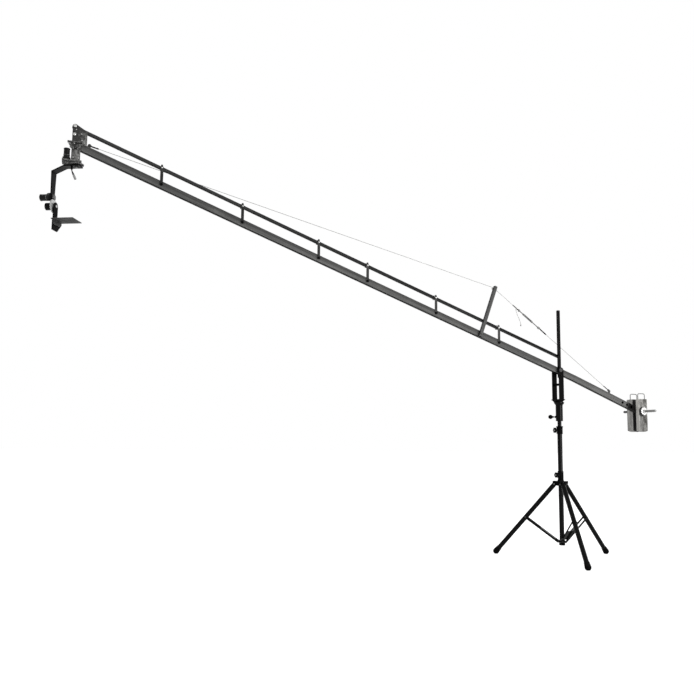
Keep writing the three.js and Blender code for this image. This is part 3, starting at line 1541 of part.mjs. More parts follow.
function makeHandle(middle) {
  const foot = weightTop - handleRoot;
  const top = weightTop + handleHeight;
  const half = handleSpan / 2;
  const at = (x, z) => new THREE.Vector3(x, middle, z);
  const bend = (from, corner, to) => new THREE.QuadraticBezierCurve3(from, corner, to);
  const leftSide = at(-half, top - handleRound);
  const leftTop = at(handleRound - half, top);
  const rightTop = at(half - handleRound, top);
  const rightSide = at(half, top - handleRound);
  const path = new THREE.CurvePath();
  path.add(new THREE.LineCurve3(at(-half, foot), leftSide));
  path.add(bend(leftSide, at(-half, top), leftTop));
  path.add(new THREE.LineCurve3(leftTop, rightTop));
  path.add(bend(rightTop, at(half, top), rightSide));
  path.add(new THREE.LineCurve3(rightSide, at(half, foot)));
  const section = new THREE.Shape();
  section.absarc(0, 0, handleDiameter / 2, 0, Math.PI * 2, false);
  const options = { steps: handleSteps, extrudePath: path, curveSegments: arcSteps, bevelEnabled: false };
  return toSolid(new THREE.ExtrudeGeometry(section, options));
}

function makeWeight(yLow, yHigh) {
  const half = weightWidth / 2;
  const shape = new THREE.Shape();
  const sideLow = weightBottomCrown / 2 - weightBottom;
  shape.moveTo(-half, weightEdge - weightBottom);
  shape.lineTo(weightEdge - half, sideLow);
  shape.quadraticCurveTo(0, -weightBottom - weightBottomCrown / 2, half - weightEdge, sideLow);
  shape.lineTo(half, weightEdge - weightBottom);
  shape.lineTo(half, weightTop - weightEdge);
  shape.lineTo(half - weightEdge, weightTop);
  shape.lineTo(weightEdge - half, weightTop);
  shape.lineTo(-half, weightTop - weightEdge);
  shape.closePath();
  const hole = bore('y', yLow - cutOverrun, yHigh + cutOverrun, barDiameter);
  const middle = (yLow + yHigh) / 2;
  return plateXZ(shape, yLow, yHigh).subtract(hole).add(makeHandle(middle));
}

function makeWeightBar() {
  const face = farOuter + fitGap;
  return join([
    rod('y', -barNearEnd, barFarEnd, barDiameter),
    rod('y', face, face + barFlangeThickness, barFlangeDiameter),
  ]);
}

// Spin collar: a notched hand wheel with a hub, threaded on the near end of the bar
function makeCollar() {
  const face = -nearOuter - fitGap;
  const wheelEnd = face - collarThickness;
  const notches = [];
  for (let i = 0; i < collarNotches; i += 1) {
    const angle = (i / collarNotches) * 2 * Math.PI;
    const place = [(collarDiameter / 2) * Math.cos(angle), (collarDiameter / 2) * Math.sin(angle)];
    notches.push(rod('y', wheelEnd - cutOverrun, face + cutOverrun, collarNotchDiameter, place, coarseSides));
  }
  const passage = bore('y', wheelEnd - collarHubLength - cutOverrun, face + cutOverrun, barDiameter);
  const wheel = cut(rod('y', wheelEnd, face, collarDiameter), notches);
  const hub = rod('y', wheelEnd - collarHubLength, wheelEnd + rootOverlap, collarHubDiameter);
  return wheel.add(hub).subtract(passage);
}

function makeWeights() {
  const hole = armHoles[0];
  const x = rearSeamBack + hole * Math.cos(rearArmDroop);
  const z = -hole * Math.sin(rearArmDroop);
  return nest(
    boomPoint(x, z),
    [0, 0, 0],
    piece('weight_bar', makeWeightBar(), zinc),
    piece('weight_near', makeWeight(-nearOuter, -nearFace), castGrey),
    piece('weight_far', makeWeight(nearFace, farOuter), castGrey),
    piece('weight_collar', makeCollar(), zinc),
  );
}

// A point of the boom's own frame, seen from the floor under the pole
function boomPoint(x, z) {
  const cosine = Math.cos(boomTilt);
  const sine = Math.sin(boomTilt);
  return [pivotX + x * cosine + z * sine, 0, pivotZ - x * sine + z * cosine];
}

// The whole crane, with its origin on the floor under the middle of its box
const crane = new THREE.Group();
crane.add(
  ...makeTripod(),
  piece('inner_pole', makePole(), blackTube),
  piece('pan_sleeve', makePanSleeve(), blackTube),
  nest([0, 0, panKnobHeight], [0, 0, panKnobAzimuth], piece('pan_lock_knob', makePanKnob(), blackCasting)),
  piece('fork', makeFork(), blackCasting),
  piece('level_post', makePost(), blackTube),
  nest([pivotX, 0, pivotZ], [0, 0, 0], piece('tilt_bolt', makeTiltBolt(), zinc)),
  makeBoom(),
  makeLevelBars(),
  makeHead(),
  makeWeights(),
);

const bounds = new THREE.Box3().setFromObject(crane, true);
const middle = bounds.getCenter(new THREE.Vector3());
crane.position.set(-middle.x, -middle.y, -bounds.min.z);
crane.updateMatrixWorld(true);

export default crane;
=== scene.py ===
"""Camera jib crane: its fine shapes and finishes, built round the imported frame. Metres, +Z up."""

import json
import math

import bmesh
import bpy
import numpy as np
from mathutils import Matrix, Vector


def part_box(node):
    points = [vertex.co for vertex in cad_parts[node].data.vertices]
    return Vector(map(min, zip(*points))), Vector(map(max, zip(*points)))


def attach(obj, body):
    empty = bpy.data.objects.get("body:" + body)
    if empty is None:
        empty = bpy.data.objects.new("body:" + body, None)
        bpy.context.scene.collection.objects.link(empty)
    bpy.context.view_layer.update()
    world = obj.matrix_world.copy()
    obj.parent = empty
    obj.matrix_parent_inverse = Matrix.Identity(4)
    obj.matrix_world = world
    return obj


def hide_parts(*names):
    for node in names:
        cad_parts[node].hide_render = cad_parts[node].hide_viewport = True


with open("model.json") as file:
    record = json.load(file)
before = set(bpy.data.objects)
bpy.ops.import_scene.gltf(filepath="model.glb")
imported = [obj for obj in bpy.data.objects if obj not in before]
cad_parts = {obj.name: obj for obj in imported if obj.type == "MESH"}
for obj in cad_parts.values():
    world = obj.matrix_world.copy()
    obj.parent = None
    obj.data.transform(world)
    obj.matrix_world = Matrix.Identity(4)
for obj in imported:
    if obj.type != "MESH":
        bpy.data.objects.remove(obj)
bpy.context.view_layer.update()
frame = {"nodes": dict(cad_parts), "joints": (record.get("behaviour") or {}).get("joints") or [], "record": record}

MM = 0.001
DEGREE = math.pi / 180
FULL = 2 * math.pi
ALONG = np.array([1.0, 0.0, 0.0])
ACROSS = np.array([0.0, 1.0, 0.0])
UP = np.array([0.0, 0.0, 1.0])

joints = {joint["name"]: joint for joint in frame["joints"]}
mounts = {mount["name"]: np.array(mount["pos_m"]) for mount in frame["record"]["mounts"]}
slots = {part["node"]: part["material_slot"] for part in frame["record"]["subparts"]}


def place_of(joint):
    """The point of a joint's axis."""
    return np.array(joints[joint]["pos_m"], float)


def unit(vector):
    """A vector divided by its length."""
    return vector / np.linalg.norm(vector)


def axis_of(joint):
    """The unit direction of a joint's axis."""
    return unit(np.array(joints[joint]["axis"], float))


def mm(values):
    """Lengths or points that are given in millimetres."""
    return np.array(values, float) * MM


# Frames of reference: an origin and three axes, as the crane's own pieces use them
class Bench:
    """Places local points in the world: origin + x * X axis + y * Y axis + z * Z axis."""

    def __init__(self, origin, x_axis=ALONG, y_axis=ACROSS, z_axis=UP):
        self.origin = np.array(origin, float)
        self.axes = np.array([x_axis, y_axis, z_axis], float)

    def put(self, points):
        """Local points, in the world."""
        return np.asarray(points, float) @ self.axes + self.origin

    def spot(self, *point):
        """One local point in millimetres, in the world."""
        return self.put(mm(point))

    def moved(self, point):
        """A bench with the same axes at a local point."""
        return Bench(self.put(point), *self.axes)


pole_low, pole_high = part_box("main_tube")
pole = np.array([(pole_low.x + pole_high.x) / 2, (pole_low.y + pole_high.y) / 2, 0.0])
pivot = place_of("boom_tilt")
head_pin = place_of("head_pivot")
to_rear = unit(pivot - head_pin)
boom_up = np.cross(to_rear, ACROSS)
boom_bench = Bench(pivot, to_rear, ACROSS, boom_up)
boom_tilt = math.atan2(-to_rear[2], to_rear[0])
head_bench = Bench(head_pin)
tilt_axis = axis_of("head_tilt")
arm_bench = Bench([*place_of("head_pan")[:2], head_pin[2]], tilt_axis, np.cross(UP, tilt_axis), UP)
weight_bench = Bench(place_of("near_weight_pivot"))
# Half the width of a counterweight, in millimetres
WEIGHT_HALF = 53.5

# Camera at the photograph's place, from the pole's foot
CAMERA_FROM_POLE = (-4.5231, -6.2344, 1.1085)
CAMERA_YAW = -0.3525
CAMERA_PITCH = 0.1225
CAMERA_ROLL = 0.0123
CAMERA_LENS = 39.040
CAMERA_SENSOR = 36.0


def make_camera():
    """The view of the photograph: forward from yaw and pitch, then a small roll about it."""
    data = bpy.data.cameras.new("photo_camera")
    data.lens = CAMERA_LENS
    data.sensor_width = CAMERA_SENSOR
    camera = bpy.data.objects.new("photo_camera", data)
    bpy.context.scene.collection.objects.link(camera)
    forward = Vector((
        -math.sin(CAMERA_YAW) * math.cos(CAMERA_PITCH),
        math.cos(CAMERA_YAW) * math.cos(CAMERA_PITCH),
        math.sin(CAMERA_PITCH),
    ))
    turned = forward.to_track_quat("-Z", "Y").to_matrix().to_4x4()
    roll = Matrix.Rotation(CAMERA_ROLL, 4, "Z")
    camera.matrix_world = Matrix.Translation(Vector(pole) + Vector(CAMERA_FROM_POLE)) @ turned @ roll
    bpy.context.scene.camera = camera


make_camera()


# Curves and outlines
def curve(start, corner, end, steps):
    """Quadratic curve (1 - t)^2 * start + 2 t (1 - t) * corner + t^2 * end."""
    t = np.linspace(0, 1, steps + 1)[:, None]
    return (1 - t) ** 2 * start + 2 * t * (1 - t) * corner + t ** 2 * end


def soften(profile, radius, steps=3):
    """A profile with each inner corner replaced by a quadratic curve that starts and ends radius away."""
    points = np.array(profile, float)
    softened = [points[:1]]
    for before, corner, after in zip(points[:-2], points[1:-1], points[2:]):
        ends = []
        for side in (before - corner, after - corner):
            length = np.linalg.norm(side)
            ends.append(corner + side / max(length, 1e-9) * min(radius, length / 2))
        softened.append(curve(ends[0], corner, ends[1], steps))
    softened.append(points[-1:])
    return np.concatenate(softened)


def quarter_turn(steps):
    """Angles from nought to a right angle."""
    return np.linspace(0, math.pi / 2, steps + 1)


def round_points(angle):
    """Points (cos a, sin a) of the unit circle."""
    return np.stack([np.cos(angle), np.sin(angle)], -1)


def wave(run, pitch):
    """From nought to one and back in each pitch: (1 - cos(run / pitch * full turn)) / 2."""
    return 0.5 - 0.5 * np.cos(run / pitch * FULL)


def rounded_outline(width, height, radius, steps=5):
    """A rectangle about the origin whose corners are quarter circles."""
    corners = []
    for quarter, (su, sv) in enumerate([(1, 1), (-1, 1), (-1, -1), (1, -1)]):
        centre = np.array([su * (width / 2 - radius), sv * (height / 2 - radius)])
        corners.append(centre + radius * round_points(quarter_turn(steps) + quarter * math.pi / 2))
    return np.concatenate(corners)


# Surfaces as grids of points: rings along the piece, points round each ring
def side_axes(axis):
    """Two unit vectors square to an axis and to each other."""
    helper = UP if abs(axis[2]) < 0.9 else ALONG
    first = unit(np.cross(helper, axis))
    return first, np.cross(axis, first)


def turn(profile, origin, axis, sides=48, shape=None):
    """Surface of revolution: point(s, a) = origin + axis * along(s) + radius(s, a) * (u cos a + v sin a).
    shape(radius, a) may change the radius round the ring, for hexagons, lobes and notches."""
    along, radius = np.array(profile, float).T
    angle = np.arange(sides) * FULL / sides
    reach = np.repeat(radius[:, None], sides, 1)
    if shape is not None:
        reach = shape(reach, angle[None, :])
    circle = round_points(angle) @ np.array(side_axes(axis))
    return np.asarray(origin) + along[:, None, None] * axis + reach[:, :, None] * circle[None]


def hexagon(flats):
    """Radius of a hexagon with the given distance across its flats, cut by the turned profile:
    min(radius, flats / 2 / cos(a modulo 60 degrees, centred))."""
    def shape(radius, angle):
        sector = (angle % (FULL / 6)) - FULL / 12
        return np.minimum(radius, flats / 2 / np.cos(sector))
    return shape


def lobed(count, depth, outer):
    """Radius drawn in between lobes: radius - depth * (radius / outer)^3 * (1 - cos(count * a)) / 2."""
    def shape(radius, angle):
        return radius - depth * (radius / outer) ** 3 * (1 - np.cos(count * angle)) / 2
    return shape


def notched(count, depth, width_share, outer):
    """Radius with smooth notches: depth times a bell of cos(count * a), only near the outer radius."""
    def shape(radius, angle):
        bell = np.clip((np.cos(count * angle) - 1 + width_share) / width_share, 0, 1)
        rim = np.clip((radius / outer - 0.6) / 0.4, 0, 1)
        return radius - depth * bell ** 0.7 * rim
    return shape


def sweep(path, radius, sides=14):
    """Tube along a path: each ring lies square to the path, its first axis carried along without twist."""
    points = np.array(path, float)
    ahead = np.gradient(points, axis=0)
    ahead /= np.linalg.norm(ahead, axis=1)[:, None]
    first = np.zeros_like(points)
    first[0] = side_axes(ahead[0])[0]
    for i in range(1, len(points)):
        first[i] = unit(first[i - 1] - ahead[i] * (first[i - 1] @ ahead[i]))
    second = np.cross(ahead, first)
    angle = (np.arange(sides) * FULL / sides)[None, :, None]
    return points[:, None] + radius * (np.cos(angle) * first[:, None] + np.sin(angle) * second[:, None])


def ring(centre, axis, large, small, steps=40, sides=12):
    """Torus: a circle of radius large about the axis, swept by a small circle."""
    u, v = side_axes(axis)
    a = (np.arange(steps) * FULL / steps)[:, None, None]
    b = (np.arange(sides) * FULL / sides)[None, :, None]
    outward = np.cos(a) * u + np.sin(a) * v
    return np.asarray(centre) + outward * (large + small * np.cos(b)) + axis * small * np.sin(b)


def slab(outline, low, high, edge, steps=3):
    """A plate of the outline's shape between two levels, its rims rounded by drawing the outline in:
    inset = edge * (1 - sin(b)), level = low + edge * (1 - cos(b)) and the same mirrored at the top.
    It is given in millimetres and comes out in metres."""
    outline = np.asarray(outline, float)
    along = np.roll(outline, -1, 0) - np.roll(outline, 1, 0)
    inward = np.stack([-along[:, 1], along[:, 0]], 1)
    inward /= np.linalg.norm(inward, axis=1)[:, None]
    b = quarter_turn(steps)
    inset = edge * (1 - np.sin(np.concatenate([b, b[::-1]])))
    level = np.concatenate([low + edge * (1 - np.cos(b)), high - edge * (1 - np.cos(b[::-1]))])
    flat = outline[None] + inward[None] * inset[:, None, None]
    levels = np.broadcast_to(level[:, None, None], (*flat.shape[:2], 1))
    return np.concatenate([flat, levels], 2) * MM


# Meshes from grids
def grid_faces(rings, sides, start, closed):
    """Quads between neighbouring rings, and a flat face over each open end."""
    i = np.arange(rings if closed else rings - 1)[:, None]
    j = np.arange(sides)[None, :]
    after, beside = (i + 1) % rings, (j + 1) % sides
    corners = np.stack([
        i * sides + j, i * sides + beside, after * sides + beside, after * sides + j,
    ], -1).reshape(-1, 4) + start
    faces = corners.tolist()
    if not closed:
        faces.append((start + np.arange(sides)[::-1]).tolist())
        faces.append((start + (rings - 1) * sides + np.arange(sides)).tolist())
    return faces


def show(name, mesh, materials, smooth):
    """The mesh as an object in the scene, shaded smooth below the given angle in degrees."""
    mesh.shade_smooth()
    mesh.set_sharp_from_angle(angle=smooth * DEGREE)
    for material in materials:
        mesh.materials.append(material)
    piece = bpy.data.objects.new(name, mesh)
    bpy.context.scene.collection.objects.link(piece)
    return piece


def settle(piece, body, replaces, slot):
    """The piece rides on its body and stands for its CAD nodes, which it hides; their material slot is looked up
    but not kept.
    """
    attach(piece, body)
    if replaces:
        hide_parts(*replaces)
        slot = slot or slots[replaces[0]]
    return piece


def make(name, grids, material, body, replaces=(), slot=None, loops=(), smooth=38):
    """One piece from several closed surfaces; the grids in loops close on themselves end to end.
    Its UV map runs round each ring in turns and along it in metres."""
    vertices, faces, uv = [], [], []
    for closed, group in ((False, grids), (True, loops)):
        for grid in group:
            rings, sides = grid.shape[:2]
            faces += grid_faces(rings, sides, sum(len(block) for block in vertices), closed)
            vertices.append(grid.reshape(-1, 3))
            steps = np.linalg.norm(np.diff(grid.mean(1), axis=0), axis=1)
            run = np.concatenate([[0], np.cumsum(steps), [steps.sum()]])
            i, j = np.meshgrid(np.arange(rings if closed else rings - 1), np.arange(sides), indexing="ij")
            round_it, along = [j, j + 1, j + 1, j], [run[i], run[i], run[i + 1], run[i + 1]]
            uv.append(np.stack([np.stack(round_it, -1) / sides, np.stack(along, -1)], -1).reshape(-1, 2))
            if not closed:
                uv.append(np.zeros((2 * sides, 2)))
    mesh = bpy.data.meshes.new(name)
    mesh.from_pydata(np.concatenate(vertices).tolist(), [], faces)
    layer = mesh.uv_layers.new(name="UVMap")
    layer.data.foreach_set("uv", np.concatenate(uv).astype(np.float32).ravel())
    work = bmesh.new()
    work.from_mesh(mesh)
    bmesh.ops.remove_doubles(work, verts=work.verts, dist=1e-6)
    bmesh.ops.dissolve_degenerate(work, edges=work.edges, dist=1e-7)
    bmesh.ops.recalc_face_normals(work, faces=work.faces)
    work.to_mesh(mesh)
    work.free()
    return settle(show(name, mesh, [material], smooth), body, replaces, slot)


def dress(node, name, body, materials, edge=0.8, rounding=2, choose=None):
    """A finished copy of a CAD piece: doubles merged, flat triangles joined and edges rounded by edge in
    millimetres. choose(centres, normals) gives each face the index of its material."""
    corner = 50
    mesh = frame["nodes"][node].data.copy()
    mesh.materials.clear()
    work = bmesh.new()
    work.from_mesh(mesh)
    bmesh.ops.remove_doubles(work, verts=work.verts, dist=2e-6)
    bmesh.ops.dissolve_limit(work, angle_limit=0.6 * DEGREE, verts=work.verts, edges=work.edges)
    work.to_mesh(mesh)
    work.free()
    piece = show(name, mesh, materials, corner)
    indices = np.zeros(len(mesh.polygons), np.int32)
    if choose is not None:
        centres, normals = np.empty((2, len(mesh.polygons) * 3))
        mesh.polygons.foreach_get("center", centres)
        mesh.polygons.foreach_get("normal", normals)
        indices[:] = choose(centres.reshape(-1, 3), normals.reshape(-1, 3))
    mesh.polygons.foreach_set("material_index", indices)
    bevel = piece.modifiers.new("rounded_edges", "BEVEL")
    bevel.width = edge * MM
    bevel.segments = rounding
    bevel.limit_method = "ANGLE"
    bevel.angle_limit = corner * DEGREE
    weighted = piece.modifiers.new("even_shading", "WEIGHTED_NORMAL")
    weighted.keep_sharp = True
    return settle(piece, body, [node], None)


# Shader nodes
def add(tree, kind, inputs=None, **properties):
    """A node with its properties; each input, by name or number, takes a value or another node's output."""
    node = tree.nodes.new("ShaderNode" + kind)
    for key, value in properties.items():
        setattr(node, key, value)
    for key, value in (inputs or {}).items():
        if isinstance(value, bpy.types.NodeSocket):
            tree.links.new(value, node.inputs[key])
        else:
            node.inputs[key].default_value = value
    return node


def new_group(name, inputs, outputs):
    """A shader node group: an input is a float with its value, or a vector where that is None; the outputs
    are floats. Gives the group, the sockets that it starts from and the ones that it fills."""
    group = bpy.data.node_groups.new(name, "ShaderNodeTree")
    for label, value in inputs.items():
        kind = "NodeSocketVector" if value is None else "NodeSocketFloat"
        socket = group.interface.new_socket(name=label, in_out="INPUT", socket_type=kind)
        if value is not None:
            socket.default_value = value
    for label in outputs:
        group.interface.new_socket(name=label, in_out="OUTPUT", socket_type="NodeSocketFloat")
    return group, group.nodes.new("NodeGroupInput").outputs, group.nodes.new("NodeGroupOutput").inputs


def triple(value):
    """One number for all three colours or axes, or the three as they are."""
    return value if isinstance(value, tuple) else (value, value, value)


def mix_colour(tree, factor, first, second, blend="MIX"):
    """A colour mix; each colour is a node's output, a grey or an (r, g, b)."""
    if not isinstance(first, bpy.types.NodeSocket):
        first = (*triple(first), 1.0)
    if not isinstance(second, bpy.types.NodeSocket):
        second = (*triple(second), 1.0)
    return add(tree, "Mix", {0: factor, 6: first, 7: second}, data_type="RGBA", blend_type=blend).outputs[2]


def multiply(tree, colour, share):
    """A colour times a share."""
    return mix_colour(tree, 1.0, colour, share, "MULTIPLY")


def calculate(tree, operation, first, second=0.0, clamped=False):
    """One or two values through a maths node."""
    return add(tree, "Math", {0: first, 1: second}, operation=operation, use_clamp=clamped).outputs[0]


def product(tree, first, second):
    """Two shares multiplied and held between nought and one."""
    return calculate(tree, "MULTIPLY", first, second, True)


def remap(tree, value, low, high, from_low, from_high):
    """A value carried to low ... high from from_low ... from_high, clamped."""
    return add(tree, "MapRange", {0: value, 1: from_low, 2: from_high, 3: low, 4: high}).outputs[0]


def split(tree, vector):
    """The X, Y and Z of a vector."""
    return add(tree, "SeparateXYZ", {0: vector}).outputs


def facing(tree):
    """The X, Y and Z of the surface's normal."""
    return split(tree, add(tree, "NewGeometry").outputs["Normal"])


# Shader node groups for the effects that the finishes share
def make_grain_group():
    """Grain: two octaves of stretched noise, coarse * (1 - fine share) + fine * fine share."""
    group, given, filled = new_group("grain", {"Place": None, "Fine share": 0.3}, ["Grain"])
    coarse = add(group, "TexNoise", {"Vector": given["Place"], "Scale": 1.0, "Detail": 3.0})
    fine = add(group, "TexNoise", {"Vector": given["Place"], "Scale": 4.3, "Detail": 2.0})
    octaves = {"Factor": given["Fine share"], "A": coarse.outputs["Fac"], "B": fine.outputs["Fac"]}
    group.links.new(add(group, "Mix", octaves, data_type="FLOAT").outputs["Result"], filled["Grain"])
    return group


def make_wear_group():
    """Edge wear: convex edges by pointiness, broken up by noise, as a mask from 0 to 1."""
    group, given, filled = new_group("edge_wear", {"Place": None, "Amount": 0.6}, ["Wear"])
    pointed = add(group, "NewGeometry").outputs["Pointiness"]
    sharp = add(group, "MapRange", {0: pointed, 1: 0.52, 2: 0.60}, interpolation_type="SMOOTHSTEP").outputs[0]
    noise = add(group, "TexNoise", {"Vector": given["Place"], "Scale": 60.0, "Detail": 4.0})
    broken = remap(group, noise.outputs["Fac"], 0, 1, 0.35, 0.65)
    worn = product(group, product(group, sharp, broken), given["Amount"])
    group.links.new(worn, filled["Wear"])
    return group


def make_handling_group():
    """Handling marks: slow patches that shift roughness, and dust on faces that look up."""
    group, given, filled = new_group("handling", {"Place": None, "Dust": 0.15}, ["Patches", "Dust"])
    patches = {"Vector": given["Place"], "Scale": 7.0, "Detail": 5.0, "Roughness": 0.62}
    specks = add(group, "TexNoise", {"Vector": given["Place"], "Scale": 240.0}).outputs["Fac"]
    upward = remap(group, facing(group)["Z"], 0, 1, 0.3, 1.0)
    dust = product(group, product(group, upward, specks), given["Dust"])
    group.links.new(add(group, "TexNoise", patches).outputs["Fac"], filled["Patches"])
    group.links.new(dust, filled["Dust"])
    return group


grain_group = make_grain_group()
wear_group = make_wear_group()
handling_group = make_handling_group()

BOOM_TURN = (0.0, -boom_tilt, 0.0)
DUST_COLOUR = (0.42, 0.41, 0.39)
# Where most values of a noise lie
NOISE_SPAN = (0.3, 0.7)


def grained(tree, place, scale, fine_share):
    """Grain at a scale per metre along each axis."""
    stretched = add(tree, "Mapping", {"Vector": place, "Scale": triple(scale)}).outputs[0]
    grain = {"Place": stretched, "Fine share": fine_share}
    return add(tree, "Group", grain, node_tree=grain_group).outputs[0]


def finish(
    name, dark, light, roughness, metallic=0.0, grain=300, fine_share=0.3, bump=0.1, depth=0.2 * MM,
    wear=None, wear_amount=0.5, dust=0.0, turned=(0, 0, 0), specular=0.5, spread=0.1, lit=None,
):
    """A finish: colour between dark and light by grain, roughness spread by patches, worn edges, dust, bump.
    The grain's scale along each axis is per metre in the turned frame. lit(tree, place, colour) may change
    the colour before the wear."""
    material = bpy.data.materials.new(name)
    material.use_nodes = True
    tree = material.node_tree
    here = add(tree, "TexCoord").outputs["Object"]
    place = add(tree, "Mapping", {"Vector": here, "Rotation": turned}, vector_type="POINT").outputs[0]
    skin = grained(tree, place, grain, fine_share)
    handled = add(tree, "Group", {"Place": place, "Dust": dust}, node_tree=handling_group).outputs
    colour = mix_colour(tree, remap(tree, skin, 0, 1, *NOISE_SPAN), dark, light)
    colour = multiply(tree, colour, remap(tree, handled["Patches"], 0.86, 1.16, *NOISE_SPAN))
    if lit is not None:
        colour = lit(tree, place, colour)
    if wear is not None:
        worn = add(tree, "Group", {"Place": place, "Amount": wear_amount}, node_tree=wear_group)
        colour = mix_colour(tree, worn.outputs["Wear"], colour, wear)
    bumped = add(tree, "Bump", {"Strength": bump, "Distance": depth, "Height": skin})
    settings = {
        "Base Color": mix_colour(tree, handled["Dust"], colour, DUST_COLOUR),
        "Roughness": remap(tree, handled["Patches"], roughness - spread, roughness + spread, *NOISE_SPAN),
        "Normal": bumped.outputs["Normal"],
    }
    shader = tree.nodes["Principled BSDF"]
    for label, output in settings.items():
        tree.links.new(output, shader.inputs[label])
    shader.inputs["Metallic"].default_value = metallic
    shader.inputs["Specular IOR Level"].default_value = specular
    return material


# Painted shade and light, stains and stripes of single pieces
def shaded_under(tree, colour):
    """Painted shade: faces that look down are darkened nearly to black by a step of the normal's height."""
    return multiply(tree, colour, remap(tree, facing(tree)["Z"], 0.03, 1.0, -0.75, -0.35))


def boom_shade(tree, place, colour):
    """The drawn tube's side gets a painted ramp of light, darker above and lighter below, its underside painted
    shade nearly black, and its rear end painted dark as the weights' shadow where it hangs between them."""
    where = split(tree, place)
    middle, weights = pivot @ boom_up, weight_bench.origin @ to_rear
    # Painted light: a ramp across the tube's height, darker above and lighter below
    share = remap(tree, where["Z"], 0.72, 1.18, middle + 12 * MM, middle - 12 * MM)
    # Painted shadow of the weights on the rear arm's end
    weight_shadow = remap(tree, where["X"], 1.0, 0.04, weights - 0.19, weights - 0.15)
    return multiply(tree, shaded_under(tree, multiply(tree, colour, share)), weight_shadow)


def bar_shade(tree, place, colour):
    """The levelling bar darkens from the head to the post by a ramp along it; its underside is painted dark as
    shade.
    """
    post = pivot @ to_rear
    share = remap(tree, split(tree, place)["X"], 1.5, 0.15, post - 4.9, post - 0.2)
    return shaded_under(tree, multiply(tree, colour, share))


def side_shade(tree, place, colour):
    """Painted shade: the faces towards the head are darker by a ramp of the normal's X."""
    return multiply(tree, colour, remap(tree, facing(tree)["X"], 0.2, 1.0, -0.7, -0.2))


def cast_streaks_with_painted_light_and_shade(tree, place, colour):
    """Bare cast blocks: painted light on the near one's edge face and a stained front on it, a painted shadow
    round the collar, painted shade over the front of the far one. Each effect is a product of ramps of place,
    normal and a stretched grain."""
    where, normal = split(tree, place), facing(tree)
    left, middle, level = weight_bench.origin - mm([WEIGHT_HALF, 0, 0])
    streaks = remap(tree, grained(tree, place, (60, 60, 4), 0.4), 0, 1.0, 0.44, 0.62)
    stains = remap(tree, grained(tree, place, (30, 30, 11), 0.4), 0, 1.0, 0.40, 0.56)
    front = remap(tree, normal["Y"], 1.0, 0, -0.9, -0.6)
    edge = remap(tree, normal["X"], 1.0, 0, -0.9, -0.5)
    near = remap(tree, where["Y"], 1.0, 0, middle - 10 * MM, middle + 10 * MM)
    far = remap(tree, where["Y"], 0, 1.0, middle + 10 * MM, middle + 20 * MM)
    beyond = remap(tree, where["X"], 0.35, 1.0, left + 8 * MM, left + 70 * MM)
    near_front = product(tree, front, near)
    face = mix_colour(tree, streaks, colour, (0.34, 0.335, 0.315))
    # Painted light: the near block's edge face made pale
    face = mix_colour(tree, product(tree, edge, near), face, (0.44, 0.43, 0.40))
    stained = product(tree, near_front, product(tree, beyond, stains))
    face = mix_colour(tree, stained, face, (0.022, 0.021, 0.018))
    flat = add(tree, "CombineXYZ", {"X": where["X"], "Z": where["Z"]}).outputs[0]
    # Painted shadow of the collar: a dark ring round it on the near block's front
    shadow_centre = (left + 39.5 * MM, 0, level - 6 * MM)
    from_shadow_centre = add(tree, "VectorMath", {0: flat, 1: shadow_centre}, operation="DISTANCE").outputs["Value"]
    collar_shadow = product(tree, near_front, remap(tree, from_shadow_centre, 1.0, 0, 44 * MM, 52 * MM))
    face = mix_colour(tree, collar_shadow, face, (0.012, 0.012, 0.011))
    # Painted shade: the far block's front, seen in the gap between the blocks, made nearly black
    return mix_colour(tree, product(tree, front, far), face, 0.008)


def painted_rim_shade(tree, place, colour):
    """A turned wheel: flat faces bright, the rim and its notches painted dark as shade by a ramp of the normal."""
    flatness = calculate(tree, "ABSOLUTE", facing(tree)["Y"])
    return multiply(tree, colour, remap(tree, flatness, 0.06, 1.0, 0.35, 0.75))


def dark_far_end(tree, place, colour):
    """The bar's far end is dark by a ramp across the crane."""
    far = weight_bench.origin[1] + 120 * MM
    return multiply(tree, colour, remap(tree, split(tree, place)["Y"], 1.0, 0.06, far, far + 20 * MM))


def speckled(tree, place, colour):
    """Fine light specks of a non-slip coat."""
    specks = add(tree, "TexNoise", {"Vector": place, "Scale": 900.0}).outputs["Fac"]
    return mix_colour(tree, remap(tree, specks, 0, 0.5, 0.56, 0.72), colour, (0.34, 0.34, 0.33))


def wire_strands(tree, place, colour):
    """Twisted strands from the piece's own UV map: dark stripes near whole numbers of u * 7 + v * 180."""
    uv = split(tree, add(tree, "TexCoord").outputs["UV"])
    round_it = calculate(tree, "MULTIPLY", uv["X"], 7.0)
    along = calculate(tree, "MULTIPLY", uv["Y"], 180.0)
    saw = calculate(tree, "PINGPONG", calculate(tree, "ADD", round_it, along), 0.5)
    return mix_colour(tree, remap(tree, saw, 1, 0, 0.0, 0.3), colour, 0.05)


